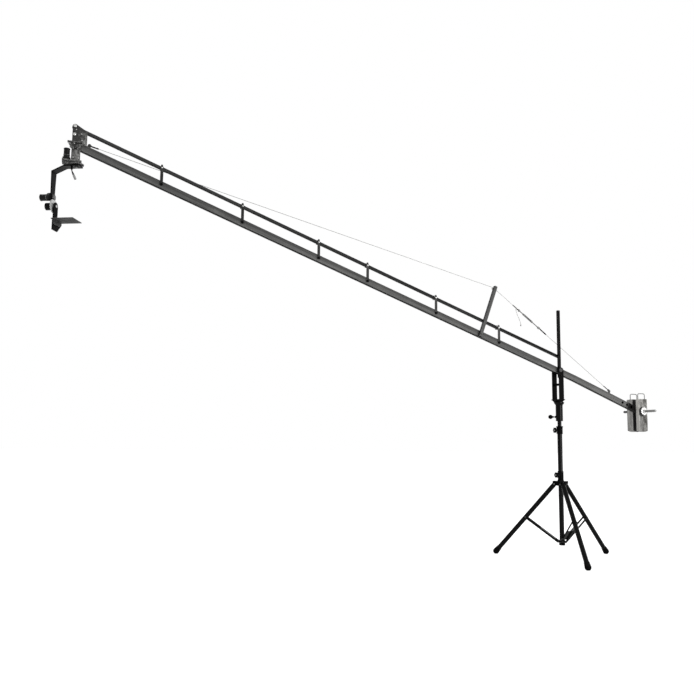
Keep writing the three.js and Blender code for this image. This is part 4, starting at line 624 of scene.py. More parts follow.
# The finishes
black_tube = finish(
    "black_anodised_tube", 0.0008, 0.0018, 0.13, grain=(160, 160, 9), bump=0.02, wear=0.07, wear_amount=0.05,
    specular=0.06, spread=0.02,
)
black_casting = finish(
    "black_powder_coat", 0.0008, 0.0018, 0.44, grain=420, bump=0.22, wear=0.07, wear_amount=0.4,
    specular=0.02,
)
knob_plastic = finish("moulded_knob_plastic", 0.001, 0.002, 0.42, grain=600, bump=0.12, specular=0.03)
foot_rubber = finish("foot_rubber", 0.0015, 0.003, 0.8, bump=0.3, dust=0.02, specular=0.02)
boom_grey = finish(
    "boom_drawn_grey", (0.043, 0.043, 0.042), (0.110, 0.109, 0.106), 0.55, grain=(2.5, 300, 300),
    fine_share=0.15, wear=(0.22, 0.22, 0.21), turned=BOOM_TURN, specular=0.03, lit=boom_shade,
)
dark_bar = finish(
    "levelling_bar_grey", 0.014, (0.042, 0.042, 0.041), 0.5, grain=(2.5, 300, 300), wear=0.14,
    wear_amount=0.4, turned=BOOM_TURN, specular=0.03, lit=bar_shade,
)
mast_grey = finish(
    "mast_drawn_grey", (0.028, 0.028, 0.027), (0.072, 0.072, 0.070), 0.5, 0.05, grain=(300, 300, 2.5),
    fine_share=0.15, wear=0.2, turned=BOOM_TURN, specular=0.1, lit=side_shade,
)
link_grey = finish(
    "link_dark_steel", 0.006, (0.022, 0.022, 0.021), 0.42, grain=(200, 200, 14), bump=0.15, wear=0.22,
    wear_amount=0.6, specular=0.12,
)
bracket_grey = finish(
    "bracket_speckled_grey", 0.009, (0.054, 0.053, 0.051), 0.5, grain=90, fine_share=0.5, bump=0.2,
    wear=(0.26, 0.26, 0.25), wear_amount=0.7, specular=0.14,
)
camera_plate_coat = finish(
    "camera_plate_coat", 0.020, (0.042, 0.042, 0.041), 0.55, grain=260, bump=0.25, wear=0.14, wear_amount=0.4,
    specular=0.1, lit=speckled,
)
bright_steel = finish(
    "zinc_plated_steel", (0.40, 0.40, 0.39), (0.60, 0.60, 0.58), 0.3, 0.8, grain=240, bump=0.06, spread=0.07,
)
dulled_rivet = finish(
    "dulled_rivet_steel", (0.05, 0.05, 0.049), (0.14, 0.14, 0.137), 0.4, 0.3, grain=240, bump=0.08,
    specular=0.2,
)
dark_bolt = finish("blackened_bolt", 0.004, 0.012, 0.36, wear=0.2, wear_amount=0.6, specular=0.2)
turned_steel = finish(
    "turned_bar_steel", (0.14, 0.14, 0.136), (0.30, 0.30, 0.292), 0.34, 0.5, grain=(40, 700, 40),
    specular=0.3, lit=dark_far_end,
)
handle_steel = finish(
    "handle_wire_steel", (0.06, 0.06, 0.058), (0.17, 0.17, 0.165), 0.4, 0.4, specular=0.3,
)
# The collar's rim and notches carry painted shade
collar_steel = finish(
    "spin_collar_chrome", (0.62, 0.62, 0.61), (0.78, 0.78, 0.77), 0.26, 0.3, grain=(60, 500, 60), bump=0.05,
    spread=0.05, lit=painted_rim_shade,
)
steel_cable = finish(
    "galvanised_wire_rope", (0.18, 0.18, 0.175), (0.30, 0.30, 0.29), 0.42, 0.5, lit=wire_strands,
)
shrink_black = finish("heat_shrink_black", 0.003, 0.006, 0.5, specular=0.08)
fitting_grey = finish(
    "dulled_fitting_steel", 0.016, (0.075, 0.075, 0.073), 0.4, 0.3, grain=260, wear=(0.45, 0.45, 0.44),
    wear_amount=0.6, specular=0.3,
)
motor_black = finish(
    "motor_black_anodised", 0.0015, 0.0035, 0.24, grain=(420, 420, 60), bump=0.06, wear=0.07, wear_amount=0.2,
    specular=0.12,
)
arm_gloss = finish(
    "drop_arm_gloss_black", 0.0008, 0.0018, 0.26, grain=40, bump=0.04, wear=0.07, wear_amount=0.08,
    specular=0.04, spread=0.05,
)
gear_alloy = finish(
    "machined_gear_alloy", (0.46, 0.46, 0.45), (0.58, 0.58, 0.57), 0.34, 0.4, grain=120, bump=0.04,
)
dark_gear_alloy = finish(
    "oiled_gear_alloy", 0.018, (0.075, 0.075, 0.073), 0.36, 0.2, grain=200, bump=0.08, wear=(0.5, 0.5, 0.49),
    wear_amount=0.9, specular=0.3,
)
gear_steel = finish(
    "machined_pinion_steel", (0.06, 0.06, 0.058), (0.15, 0.15, 0.146), 0.34, 0.5, grain=200, bump=0.08,
)
lead_rubber = finish("lead_sheath", 0.002, 0.004, 0.6, grain=500, bump=0.12, specular=0.03)
plug_alloy = finish("connector_nickel", 0.20, (0.36, 0.36, 0.35), 0.34, 0.3, bump=0.06, specular=0.3)
cast_weight = finish(
    "bare_cast_weight", (0.10, 0.098, 0.094), (0.21, 0.206, 0.197), 0.5, grain=(60, 60, 20), fine_share=0.5,
    bump=0.3, depth=0.4 * MM, wear=(0.46, 0.45, 0.43), wear_amount=0.7, specular=0.25, lit=cast_streaks_with_painted_light_and_shade,
)


# Small parts that many pieces share; their sizes are in millimetres
def rod(low, high, radius, place, axis, sides, edge=0.0):
    """A cylinder from low to high along an axis, its rims rounded by edge."""
    profile = mm([(low, 0), (low, radius), (high, radius), (high, 0)])
    return turn(soften(profile, edge * MM) if edge else profile, place, axis, sides)


def hex_head(place, axis, flats, height, washer=0):
    """A hexagon head with chamfered corners on a thin washer: the hexagon cut by a turned cone."""
    grids = [rod(0, washer, flats * 0.62, place, axis, 48, washer / 3)] if washer else []
    point, top = flats / 2 / math.cos(FULL / 12) * 1.1, washer + height
    body = mm([
        (washer, 0), (washer, point), (top - height * 0.16, point), (top, flats / 2 * 0.94), (top, 0),
    ])
    return [*grids, turn(body, place, axis, 72, hexagon(flats * MM))]


def dome(place, axis, radius, height, foot=0):
    """A domed rivet or acorn head: radius * cos(t), foot + height * sin(t)."""
    arc = round_points(quarter_turn(8))[:, ::-1] * (height, radius) + (foot, 0)
    return turn(mm([(0, 0), (0, radius), *arc]), place, axis, 36)


def socket_screw(place, axis, radius, height):
    """A cap screw with a hexagon socket sunk in its rounded head."""
    outer = soften([(0, 0), (0, radius), (height, radius), (height, radius * 0.55)], radius * 0.2)
    recess = [(height, radius * 0.5), (height * 0.45, radius * 0.5), (height * 0.45, 0)]
    return turn(mm([*outer, *recess]), place, axis, 36)


def screws_at(bench, points, axis, radius, height):
    """Cap screws at points of a bench."""
    return [socket_screw(bench.spot(*point), axis, radius, height) for point in points]


def screw_circle(centre, axis, circle, radius, height):
    """Four cap screws round an axis."""
    around = round_points(FULL * (np.arange(4) + 0.5) / 4) @ np.array(side_axes(axis))
    return [socket_screw(centre + out * circle * MM, axis, radius, height) for out in around]


def clamp_boss(joint, start, end, radius):
    """A short boss with a chamfered face, in which the screw of a clamp knob runs."""
    profile = mm([(start, 0), (start, radius), (end - 1.5, radius), (end, radius - 1.5), (end, 0)])
    return turn(soften(profile, MM), place_of(joint), axis_of(joint), 40)


def end_cap(name, bench, width, height, body, outward=1):
    """A moulded cap in a tube's open end: a rounded plate with a plug behind it. It faces along local X."""
    plate = slab(rounded_outline(width, height, 2.4), 0.2, 3, 1.1)
    plug = slab(rounded_outline(width - 5, height - 5, 1.5), -16, 0.6, 0.4)
    grids = [bench.put(grid[..., [2, 0, 1]] * (outward, 1, 1)) for grid in (plate, plug)]
    make(name, grids, knob_plastic, body, slot="knob_plastic")


def fasten(name, grids, body):
    """Small bright fasteners, which stand for no CAD piece."""
    make(name, grids, bright_steel, body, slot="bright_steel")


# Cords: the lead under the head and the spare tail of the guy cable
def smooth_route(points, steps=6):
    """Catmull-Rom curve through the points, with steps spans between neighbours."""
    padded = np.concatenate([2 * points[:1] - points[1:2], points, 2 * points[-1:] - points[-2:-1]])
    a, b, c, d = (p[:, None] for p in (padded[:-3], padded[1:-2], padded[2:-1], padded[3:]))
    t = (np.arange(steps) / steps)[None, :, None]
    spans = 0.5 * (
        2 * b + (c - a) * t + (2 * a - 5 * b + 4 * c - d) * t ** 2 + (3 * b - a - 3 * c + d) * t ** 3
    )
    return np.concatenate([spans.reshape(-1, 3), points[-1:]])


def drooping(sideways, down):
    """A hanging route from its start, in millimetres."""
    return mm([(x, 0, -z) for x, z in zip(sideways, down)])


LEAD_GLAND_X = -41 * MM
LEAD_DIAMETER = 9 * MM
LEAD_ROUTE = drooping((0, 0, 1, 3, 6, 9.7, 13.6, 17.5), range(0, 57, 8))
PLUG_TURN = 26 * DEGREE
TAIL_DIAMETER = 4 * MM
TAIL_ROUTE = drooping(
    (0, 0, 1, 3, 5.5, 9, 13, 17.5, 22.5, 27.5, 32.5, 37.5, 42, 46, 49.5, 52, 53),
    (*range(0, 37, 9), *range(46, 157, 10)),
)


def make_lead():
    """The short lead: straight out of its gland nut, then out and down into the connector's rubber boot."""
    _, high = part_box("head_lead")
    gland = arm_bench.put([LEAD_GLAND_X, 0, high.z - head_pin[2]])
    bench = Bench(gland, *arm_bench.axes)
    path = bench.put(smooth_route(LEAD_ROUTE))
    sheath = make("lead_sheath", [sweep(path, LEAD_DIAMETER / 2, 18)], lead_rubber, "head_arm", ["head_lead"])
    out = unit(bench.put([math.sin(PLUG_TURN), 0, -math.cos(PLUG_TURN)]) - gland)
    outer = 9.4
    profile = mm([
        (0.3, 0), (0.3, 6.5), (6, 7), (8, 7.8), (8.2, outer), (12, outer), (12.5, 8.6), (14, 8.6),
        (14.5, outer), (31, outer), (31.5, 8.6), (34, 8.6), (34.5, 9.2), (43, 9.2), (44, 8.4), (44, 6),
        (39, 5.8), (39, 0),
    ])
    body = turn(soften(profile, 0.4 * MM, 2), path[-1], out, 72, lobed(24, 0.6 * MM, outer * MM))
    plug = make("lead_connector", [body], plug_alloy, "head_arm", ["head_plug"], smooth=50)
    nut = soften(mm([(0, 0), (0, 9.5), (9, 9.5), (12, 7.8), (13, 5), (13, 0)]), 0.6 * MM)
    nut = turn(nut, gland, -UP, 72, hexagon(19 * MM))
    make("lead_gland", [nut], motor_black, "head_arm", slot="lead_rubber")
    run = np.linspace(0, 24, 61)
    boot = mm([(0, 0), *zip(run, 8.2 - 2.6 * run / 24 - 0.7 * wave(run, 4)), (24, 0)])
    boot = make("lead_boot", [turn(boot, path[-1], -out, 40)], lead_rubber, "head_arm", slot="lead_rubber")


# The guy cable's line in the boom's own frame: over the mast's wheel and down to the rear arm's lug
MAST_PLACE = 0.930
APEX = np.array([-MAST_PLACE, 0, 0.491358])
RUN = np.array([0.64943, 0, 0.03840]) - APEX
FRONT_EYE_SHARE = 0.205
TAIL_BACK_SHARE = 0.018
REAR_EYE_SHARE = 0.385
FRONT_PIN = np.array([-4.757, 0.0333, 0.058])
CABLE_RADIUS = 2 * MM


def make_tail():
    """The spare end of the front cable, hanging from its ferrule, with a pressed cap."""
    _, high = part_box("guy_tail")
    start = boom_bench.put(APEX + RUN * (FRONT_EYE_SHARE - TAIL_BACK_SHARE))
    start[2] = high.z
    path = smooth_route(TAIL_ROUTE) + start
    cable = make("guy_tail_wire", [sweep(path, TAIL_DIAMETER / 2)], steel_cable, "boom", ["guy_tail"])
    cap = soften(mm([(0, 0), (0, 3.3), (3, 4.5), (12, 4.5), (14, 3.5), (14, 0)]), 0.8 * MM)
    pressed = turn(cap, path[-1], -UP, 24)
    end = make("guy_tail_cap", [pressed], fitting_grey, "boom", slot="steel_cable")


make_lead()
make_tail()


# Column and folding legs
def tube_wall(low, high, outer, inner):
    """The closed outline of a tube's wall, from the bore round the chamfered outside and back."""
    lip = 0.5 * MM
    return [
        (low, inner), (low, outer - lip), (low + lip, outer), (high - lip, outer), (high, outer - lip),
        (high, inner),
    ]


def make_column():
    """Main tube and collar as turned walls about the pole, with the brace base and the clamp boss."""
    low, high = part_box("main_tube")
    outer = (high.x - low.x) / 2
    walls = turn(tube_wall(low.z, high.z, outer, outer - 2 * MM), pole, UP, 64)
    make("column_tube", [], black_tube, "column", ["main_tube"], loops=[walls])
    dress("brace_base", "column_brace_base", "column", [black_casting], 1.0)
    low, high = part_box("top_collar")
    body, rim, bore, narrow = mm([29, 32, 23.4, 19.4])
    flare, rim_low, ledge = high.z - mm([15, 12, 19])
    profile = [
        (low.z, bore), (low.z, body), (flare, body), (rim_low, rim), (high.z, rim), (high.z, narrow),
        (ledge, narrow), (ledge, bore), (low.z, bore),
    ]
    collar = turn(soften(profile, 1.5 * MM)[:-1], pole, UP, 64)
    boss = clamp_boss("top_knob_turn", 22, 37, 12)
    make("column_top_collar", [boss], black_casting, "column", ["top_collar"], loops=[collar])
    across = np.cross(axis_of("top_knob_turn"), UP)
    bolt = place_of("top_knob_turn") + across * body * 0.98 - UP * 22 * MM
    fasten("column_collar_bolt", hex_head(bolt, across, 8, 4, 1), "column")


def make_star_knob(name, node, joint, body):
    """A six-lobed clamp knob on its screw; the lobes fade towards the middle."""
    axis, place = axis_of(joint), place_of(joint)
    neck, grip, end, outer = 37.3, 43.3, 60.3, 28
    profile = mm([
        (neck, 0), (neck, 12), (grip - 1, 12), (grip, 17), (grip + 1, outer), (end - 2, outer),
        (end, outer * 0.8), (end, 13), (end - 2, 11), (end - 2, 0),
    ])
    star = turn(soften(profile, 2.5 * MM, 4), place, axis, 96, lobed(6, 6 * MM, outer * MM))
    make(name, [star, rod(23.4, grip, 4, place, axis, 24)], knob_plastic, body, [node], smooth=45)
    fasten(name + "_screw", [dome(place + axis * (end - 2) * MM, axis, 5, 1.6)], body)


LEG_RADIUS = 22 * MM
LEG_JOINT_SHARE = 0.468
LEG_FOOT_INSET = 30 * MM
LEG_BUSH_HALF = 23.2
BRACE_OUTSIDE = 29 * MM
HUB_PIN_END = 28.3 * MM
BASE_PIN_END = 30 * MM
BOOT_LENGTH = 84 * MM
BOOT_TOP = 25 * MM
BOOT_BALL = 29.7 * MM
BOOT_BALL_HEIGHT = 26 * MM


def make_leg(i):
    """A leg tube with a round crown and its cross bush, and a ribbed rubber boot whose round toe is flat on
    the floor; beside them the brace, with the rivets and pin caps of its ends."""
    hinge, side = place_of(f"leg_{i}_fold"), axis_of(f"leg_{i}_fold")
    ball = mounts[f"foot_{i}_sole"] + UP * BOOT_BALL_HEIGHT
    down, toe = unit(ball - hinge), np.linalg.norm(ball - hinge)
    length = toe - BOOT_BALL_HEIGHT / down[2]
    arc = round_points(quarter_turn(10))
    tube_end = length - LEG_FOOT_INSET
    outline = [*LEG_RADIUS * arc * (-1, 1), (tube_end, LEG_RADIUS), (tube_end, 0)]
    joint_place = hinge + down * length * LEG_JOINT_SHARE
    bush = rod(-LEG_BUSH_HALF, LEG_BUSH_HALF, 7, joint_place, side, 28)
    make(f"leg_tube_{i}", [turn(outline, hinge, down, 56), bush], black_tube, f"leg_{i}", [f"leg_{i}"])
    top = length - BOOT_LENGTH
    run = np.linspace(top + MM, toe, 40)
    slope = np.interp(run, [top, toe], [BOOT_TOP, BOOT_BALL])
    ribs = 0.8 * MM * wave(run - top, 8 * MM) * (run < toe - 12 * MM)
    outside = [
        (top, LEG_RADIUS + 0.4 * MM), (top, BOOT_TOP - 1.5 * MM), *zip(run, slope - ribs),
        *(BOOT_BALL * arc[1:, ::-1] + (toe, 0)),
    ]
    boot = turn(outside, hinge, down, 56)
    sunk = np.minimum(boot[..., 2], 0) / down[2]
    boot -= sunk[..., None] * down
    make(f"leg_boot_{i}", [boot], foot_rubber, f"leg_{i}", [f"foot_{i}"], smooth=30)
    dress(f"brace_{i}", f"leg_brace_{i}", f"brace_{i}", [black_tube], 0.5)
    base = place_of(f"brace_{i}_rise")
    for name, body, centre, reach, sizes in (
        (f"brace_rivets_{i}", f"brace_{i}", joint_place, BRACE_OUTSIDE, (5, 2)),
        (f"hub_pin_caps_{i}", "hub", hinge, HUB_PIN_END, (8, 3, 2.5)),
        (f"base_pin_caps_{i}", "column", base, BASE_PIN_END, (5, 1.6)),
    ):
        caps = [dome(centre + out * reach, out, *sizes) for out in (-side, side)]
        make(name, caps, dulled_rivet, body, slot="bright_steel")


make_column()
dress("leg_hub", "hub_casting", "hub", [black_casting], 1.2, 3)
make_star_knob("hub_star_knob", "hub_clamp_knob", "hub_knob_turn", "hub_knob")
make_star_knob("column_star_knob", "top_clamp_knob", "top_knob_turn", "top_knob")
for leg in (1, 2, 3):
    make_leg(leg)


# Pole, pan sleeve, fork and levelling post
def make_pan():
    """The sliding pole and the sleeve that turns on it, with its flange and lock, the fork and the post."""
    low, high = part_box("inner_pole")
    walls = turn(tube_wall(low.z, high.z, 19 * MM, 16.5 * MM), pole, UP, 56)
    make("pole_tube", [], black_tube, "pole", ["inner_pole"], loops=[walls])
    low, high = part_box("pan_sleeve")
    bore, body, groove, flange = mm([19.4, 34, 33, 49])
    flange_low = high.z - 10 * MM
    profile = [
        (low.z, bore), (low.z, body), (low.z + 8 * MM, body), (low.z + 9 * MM, groove),
        (low.z + 11 * MM, groove), (low.z + 12 * MM, body), (flange_low - 22 * MM, body),
        (flange_low, flange), (high.z, flange), (high.z, bore), (low.z, bore),
    ]
    sleeve = turn(soften(profile, 1.6 * MM)[:-1], pole, UP, 72)
    boss = clamp_boss("pan_knob_turn", 30, 44, 11)
    make("pan_sleeve_body", [boss], black_tube, "pan", ["pan_sleeve"], loops=[sleeve])
    centre, radius, meet = 84, 21, 66
    angle = np.linspace(math.acos((centre - meet) / radius), math.pi, 26)
    ball = radius * round_points(angle) * (-1, 1) + (centre, 0)
    profile = mm([(19.4, 0), (19.4, 4.5), (47, 4.5), (52, 6), (58, 8.4), *ball])
    knob = turn(profile, place_of("pan_knob_turn"), axis_of("pan_knob_turn"), 56)
    make("pan_lock_ball", [knob], knob_plastic, "pan_knob", ["pan_lock_knob"])
    dress("fork", "fork_yoke", "pan", [black_casting], 1.4, 3)
    dress("level_post", "levelling_post", "pan", [black_tube], 1.6, 3)


POST_FROM_PIVOT = 38.2 * MM


def make_post_cap():
    """A moulded plug in the post's open top, with a rounded face."""
    _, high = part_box("level_post")
    bench = Bench([pivot[0], pivot[1] - POST_FROM_PIVOT, high.z])
    face = slab(rounded_outline(24.6, 24.6, 2), 0.2, 3.2, 1.2)
    plug = slab(rounded_outline(20.6, 20.6, 1.5), -14, 0.8, 0.4)
    make("post_cap", [bench.put(face), bench.put(plug)], knob_plastic, "pan", slot="knob_plastic")


def make_tilt_bolt():
    """The boom's pivot bolt with hexagon heads, washers and the two bushes beside the boom."""
    face = 59.3
    grids = [rod(-face, face, 8, pivot, ACROSS, 40)]
    for out in (-ACROSS, ACROSS):
        grids += hex_head(pivot + out * face * MM, out, 30, 9, 2)
    for low, high in ((22.8, 50.7), (-25.4, -22.8)):
        grids.append(rod(low, high, 15, pivot, ACROSS, 40, 0.8))
    make("tilt_pivot_bolt", grids, dark_bolt, "pan", ["tilt_bolt"])


make_pan()
make_post_cap()
make_tilt_bolt()

# Boom, levelling bar, links and mast
DROOP = 1.8 * DEGREE
REAR_SEAM = 0.200
REAR_ARM = 0.885
HEAD_REACH = 4.861
MAST_WHEEL_HEIGHT = 0.480
MAST_TOP = 0.494
MAST_ACROSS = -38 * MM
# In millimetres: between a link's pins, and the caps of the tubes
LINK_HEIGHT = 144.3
BOOM_CAP = (44.4, 56.4)
BAR_CAP = (37.4, 19.4)
MAST_CAP = (29.4, 29.4)


def make_boom():
    """Boom tubes with their spigots and bolts, the rear arm, the mast and the moulded end caps."""
    for i in (1, 2, 3, 4):
        dress(f"boom_tube_{i}", f"boom_section_{i}", "boom", [boom_grey], 2.0, 3)
        dress(f"level_bar_{i}", f"levelling_section_{i}", "level_bar", [dark_bar], 1.4, 3)
    dress("boom_tube_rear", "boom_rear_arm", "boom", [boom_grey], 2.0, 3)
    for i in (1, 2, 3):
        dress(f"boom_spigot_{i}", f"boom_spigot_bolts_{i}", "boom", [link_grey], 0.5)
    mast_wheel = boom_bench.put([-MAST_PLACE, 0, MAST_WHEEL_HEIGHT])

    def mast_faces(centres, normals):
        """0 the tube, 1 the saddle wheel and its axle end."""
        near = np.linalg.norm((centres - mast_wheel)[:, [0, 2]], axis=1) < 14 * MM
        return near & (centres[:, 1] > mast_wheel[1] - 20 * MM)

    dress("guy_mast", "guy_mast_tube", "boom", [mast_grey, bright_steel], 1.4, 3, mast_faces)
    rear_x = boom_bench.put([math.cos(DROOP), 0, -math.sin(DROOP)]) - pivot
    rear_end = boom_bench.put([REAR_SEAM, 0, 0]) + rear_x * REAR_ARM
    rear_bench = Bench(rear_end, rear_x, ACROSS, np.cross(rear_x, ACROSS))
    bar_bench = Bench(pivot + UP * LINK_HEIGHT * MM, *boom_bench.axes)
    mast_top = boom_bench.put([-MAST_PLACE, MAST_ACROSS, MAST_TOP])
    mast_bench = Bench(mast_top, boom_bench.axes[2], ACROSS, -boom_bench.axes[0])
    end_cap("boom_rear_cap", rear_bench, *BOOM_CAP, "boom")
    end_cap("boom_head_cap", boom_bench.moved([-HEAD_REACH - 22 * MM, 0, 0]), *BOOM_CAP, "boom", -1)
    end_cap("bar_head_cap", bar_bench.moved([-HEAD_REACH - 17 * MM, 0, 0]), *BAR_CAP, "level_bar", -1)
    end_cap("bar_rear_cap", bar_bench.moved([24 * MM, 0, 0]), *BAR_CAP, "level_bar")
    end_cap("mast_cap", mast_bench, *MAST_CAP, "boom")


def make_link(i):
    """A link: dark bar, bright strap over the levelling bar, and a black domed knob on its lower bolt."""
    body = f"link_{i}"
    bench = Bench(place_of(f"link_{i}_pivot"))

    def faces(centres, normals):
        """0 the bar, 1 the strap and its pin, 2 the lower nut."""
        y, z = (centres - bench.origin).T[1:] / MM
        strap = (z > 129) & (y > -23.6)
        nut = (y > 22) & (z < 30)
        return np.where(strap, 1, np.where(nut, 2, 0))

    dress(body, f"link_strap_{i}", body, [link_grey, gear_alloy, bright_steel], 0.7, choose=faces)
    outer = 12.3
    profile = mm([(0, 0), (0, outer), (5, outer), (9, 10.5), (12.6, 7), (12.6, 0)])
    lobes = lobed(8, 1.2 * MM, outer * MM)
    knob = turn(soften(profile, 2 * MM, 4), bench.spot(0, -28.5, 0), -ACROSS, 60, lobes)
    make(f"link_knob_{i}", [knob], knob_plastic, body, slot="knob_plastic", smooth=45)
    fasten(f"link_bolt_{i}", [dome(bench.spot(0, -28.4, LINK_HEIGHT), -ACROSS, 6.5, 3, 1)], body)
    fasten(f"link_nut_{i}", [dome(bench.spot(0, 29.6, 0), ACROSS, 6, 3.5)], body)


make_boom()
for link_number in range(1, 7):
    make_link(link_number)


# Guy cable with its fittings; the sleeves' and heads' sizes are in millimetres
def ferrule(place, along, length, radius=4.5):
    """A pressed sleeve with four crimps: radius drawn in by a wave along it."""
    run = np.linspace(0, length, 41)
    body = radius - 0.5 * wave(run, length / 4)
    body[0] = body[-1] = CABLE_RADIUS / MM * 1.15
    return turn(mm([(0, 0), *zip(run, body), (length, 0)]), place, along, 24)


def eye(place):
    """A thimble eye: a ring of wire that hangs on the pin."""
    return ring(place, ACROSS, 11 * MM, 2.8 * MM)


def make_front_cable():
    """The front run from the far-side lug over the mast's wheel to the turnbuckle, bent over the wheel."""
    start, apex = boom_bench.put(FRONT_PIN), boom_bench.put(APEX)
    end = boom_bench.put(APEX + RUN * FRONT_EYE_SHARE)
    ahead, down = unit(apex - start), unit(end - apex)
    path = np.concatenate([
        np.linspace(start + ahead * 30 * MM, apex - ahead * 10 * MM, 24),
        curve(apex - ahead * 8 * MM, apex, apex + down * 8 * MM, 8),
        np.linspace(apex + down * 10 * MM, end - down * 30 * MM, 12),
    ])
    make("guy_wire_front", [sweep(path, CABLE_RADIUS, 12)], steel_cable, "boom", ["guy_cable_front"])
    eyes = [eye(start + ahead * 5 * MM), eye(end - down * 5 * MM)]
    make("guy_eyes_front", [], bright_steel, "boom", slot="steel_cable", loops=eyes)
    sleeve = ferrule(start + ahead * 9 * MM, ahead, 66, 6.2)
    make("guy_sleeve_front", [sleeve], shrink_black, "boom", slot="steel_cable")
    sleeve = ferrule(end - down * 9 * MM, -down, 63, 5.2)
    make("guy_sleeve_middle", [sleeve], fitting_grey, "boom", slot="steel_cable")
    lug_side = boom_bench.put(FRONT_PIN + mm([0, 3.9, 0]))
    fasten("front_lug_bolt", hex_head(lug_side, ACROSS, 15, 5, 1), "boom")


def make_rear_cable():
    """The rear run from the turnbuckle to the rear arm's lug, with a forked end pinned to it."""
    start = boom_bench.put(APEX + RUN * REAR_EYE_SHARE)
    end = boom_bench.put(APEX + RUN)
    along = unit(end - start)
    path = np.linspace(start + along * 30 * MM, end - along * 24 * MM, 24)
    make("guy_wire_rear", [sweep(path, CABLE_RADIUS, 12)], steel_cable, "boom", ["guy_cable_rear"])
    bench = Bench(end, -along, np.cross(along, ACROSS), ACROSS)
    round_end = 8 * round_points(np.linspace(math.pi / 2, 3 * math.pi / 2, 16))
    cheek = [*round_end, (22, -8), (22, 8)]
    root = rounded_outline(8, 16, 1) + (18, 0)
    plates = [slab(cheek, 3.4, 7.2, 0.5), slab(cheek, -7.2, -3.4, 0.5), slab(root, -7.2, 7.2, 0.5)]
    grids = [bench.put(plate) for plate in plates] + [rod(-9, 9, 4, end, ACROSS, 24, 0.8)]
    make("guy_ends_rear", grids, fitting_grey, "boom", slot="steel_cable")
    make("guy_eye_rear", [], bright_steel, "boom", slot="steel_cable", loops=[eye(start + along * 5 * MM)])
    sleeves = [ferrule(start + along * 9 * MM, along, 87, 6.2), ferrule(end - along * 22 * MM, -along, 64)]
    make("guy_sleeves_rear", sleeves, shrink_black, "boom", slot="steel_cable")


def make_turnbuckle():
    """The turnbuckle's slotted body and jaws, with the threads of its two rods and the jaw bolts."""
    dress("turnbuckle", "turnbuckle_body", "boom", [fitting_grey], 0.6)
    start = boom_bench.put(APEX + RUN * FRONT_EYE_SHARE)
    end = boom_bench.put(APEX + RUN * REAR_EYE_SHARE)
    grids = []
    for first, last in ((24, 66), (206, 268)):
        run = np.linspace(first, last, 2 * (last - first))
        thread = mm([(first, 0), *zip(run, 4.5 - 0.5 * wave(run, 2)), (last, 0)])
        grids.append(turn(thread, start, unit(end - start), 20))
    for place in (start, end):
        for out in (-ACROSS, ACROSS):
            grids += hex_head(place + out * 7.8 * MM, out, 10, 3)
    make("turnbuckle_threads", grids, fitting_grey, "boom", slot="bright_steel", smooth=45)


make_front_cable()
make_rear_cable()
make_turnbuckle()


# Counterweights, their bar and the spin collar, in millimetres
def make_weight(name, node, body, low, high):
    """A cast block with a crowned foot and rounded rims, and its bent wire handle."""
    half, top, bottom, crown, corner = WEIGHT_HALF, 125, 204, 8, 8
    across = np.linspace(-1, 1, 13)
    foot = np.stack([across * (half - corner), crown * across ** 2 - crown / 2 - bottom], 1)
    right = (half - corner, top - corner) + corner * round_points(quarter_turn(4))
    left = right[::-1] * (-1, 1)
    outline = [*foot, (half, corner - bottom), *right, *left, (-half, corner - bottom)]
    block = weight_bench.put(slab(outline, low, high, 3, 4)[..., [0, 2, 1]])
    make(name, [block], cast_weight, body, [node], smooth=50)
    middle, rise, reach, bend = (low + high) / 2, top + 55, 42, 16
    up_left = (bend - reach, rise - bend) + bend * round_points(quarter_turn(8)) * (-1, 1)
    up_right = up_left[::-1] * (-1, 1)
    feet = [(-reach, top - 6), (-reach, top + 12)], [(reach, top + 12), (reach, top - 6)]
    wire = np.insert([*feet[0], *up_left, *up_right, *feet[1]], 1, middle, 1)
    handle = sweep(weight_bench.put(mm(wire)), 4 * MM, 18)
    make(name + "_handle", [handle], handle_steel, body, slot="cast_weight")
    weld = mm([(0, 0), (0, 8), (2.5, 7), (2.5, 0)])
    welds = [turn(weld, weight_bench.spot(x, middle, top), UP, 32) for x in (-reach, reach)]
    make(name + "_handle_welds", welds, cast_weight, body, slot="cast_weight")


def make_weight_bar():
    """The through bar: threaded near end, plain far end with a stop flange, both chamfered."""
    radius, near, far, face = 12.5, -240, 213, 109.4
    run = np.arange(near + 4, -70, 0.75)
    profile = mm([
        (near, 0), (near, radius - 2), *zip(run, radius - 0.6 + 0.6 * wave(run, 3)), (-66, radius),
        (far - 2, radius), (far, radius - 2), (far, 0),
    ])
    bar = turn(profile, weight_bench.origin, ACROSS, 40)
    stop = rod(face, face + 10, 28, weight_bench.origin, ACROSS, 56, 1.5)
    make("weight_through_bar", [bar, stop], turned_steel, "boom", ["weight_bar"], smooth=50)


def make_spin_collar():
    """The spin collar: a bright notched wheel with a bevelled face and a hub."""
    face, end, outer, bore = -66.4, -86.4, 40, 13
    profile = mm([
        (face, bore), (face, outer - 2), (face - 2, outer), (end + 5, outer), (end + 1, outer - 6), (end, 24),
        (end, 22), (end - 9, 21), (end - 10, 20), (end - 10, bore),
    ])
    notches = notched(10, 5 * MM, 0.35, outer * MM)
    wheel = turn(soften(profile, 1.2 * MM), weight_bench.origin, ACROSS, 160, notches)
    make("spin_collar_wheel", [], collar_steel, "collar", ["weight_collar"], loops=[wheel], smooth=40)


make_weight("near_weight_block", "weight_near", "near_weight", -66.1, -23.1)
make_weight("far_weight_block", "weight_far", "far_weight", 23.1, 109.1)
make_weight_bar()
make_spin_collar()

# Motorised head, in millimetres from the head pin or down the drop arm
BRACKET_SIDE = 40.8
MOTOR_DECK = -136.7
BEARING_FACE = -185.1
TILT_DROP = -506
TILT_MOTOR_DROP = -430
TILT_MOTOR_FACE = -195.3


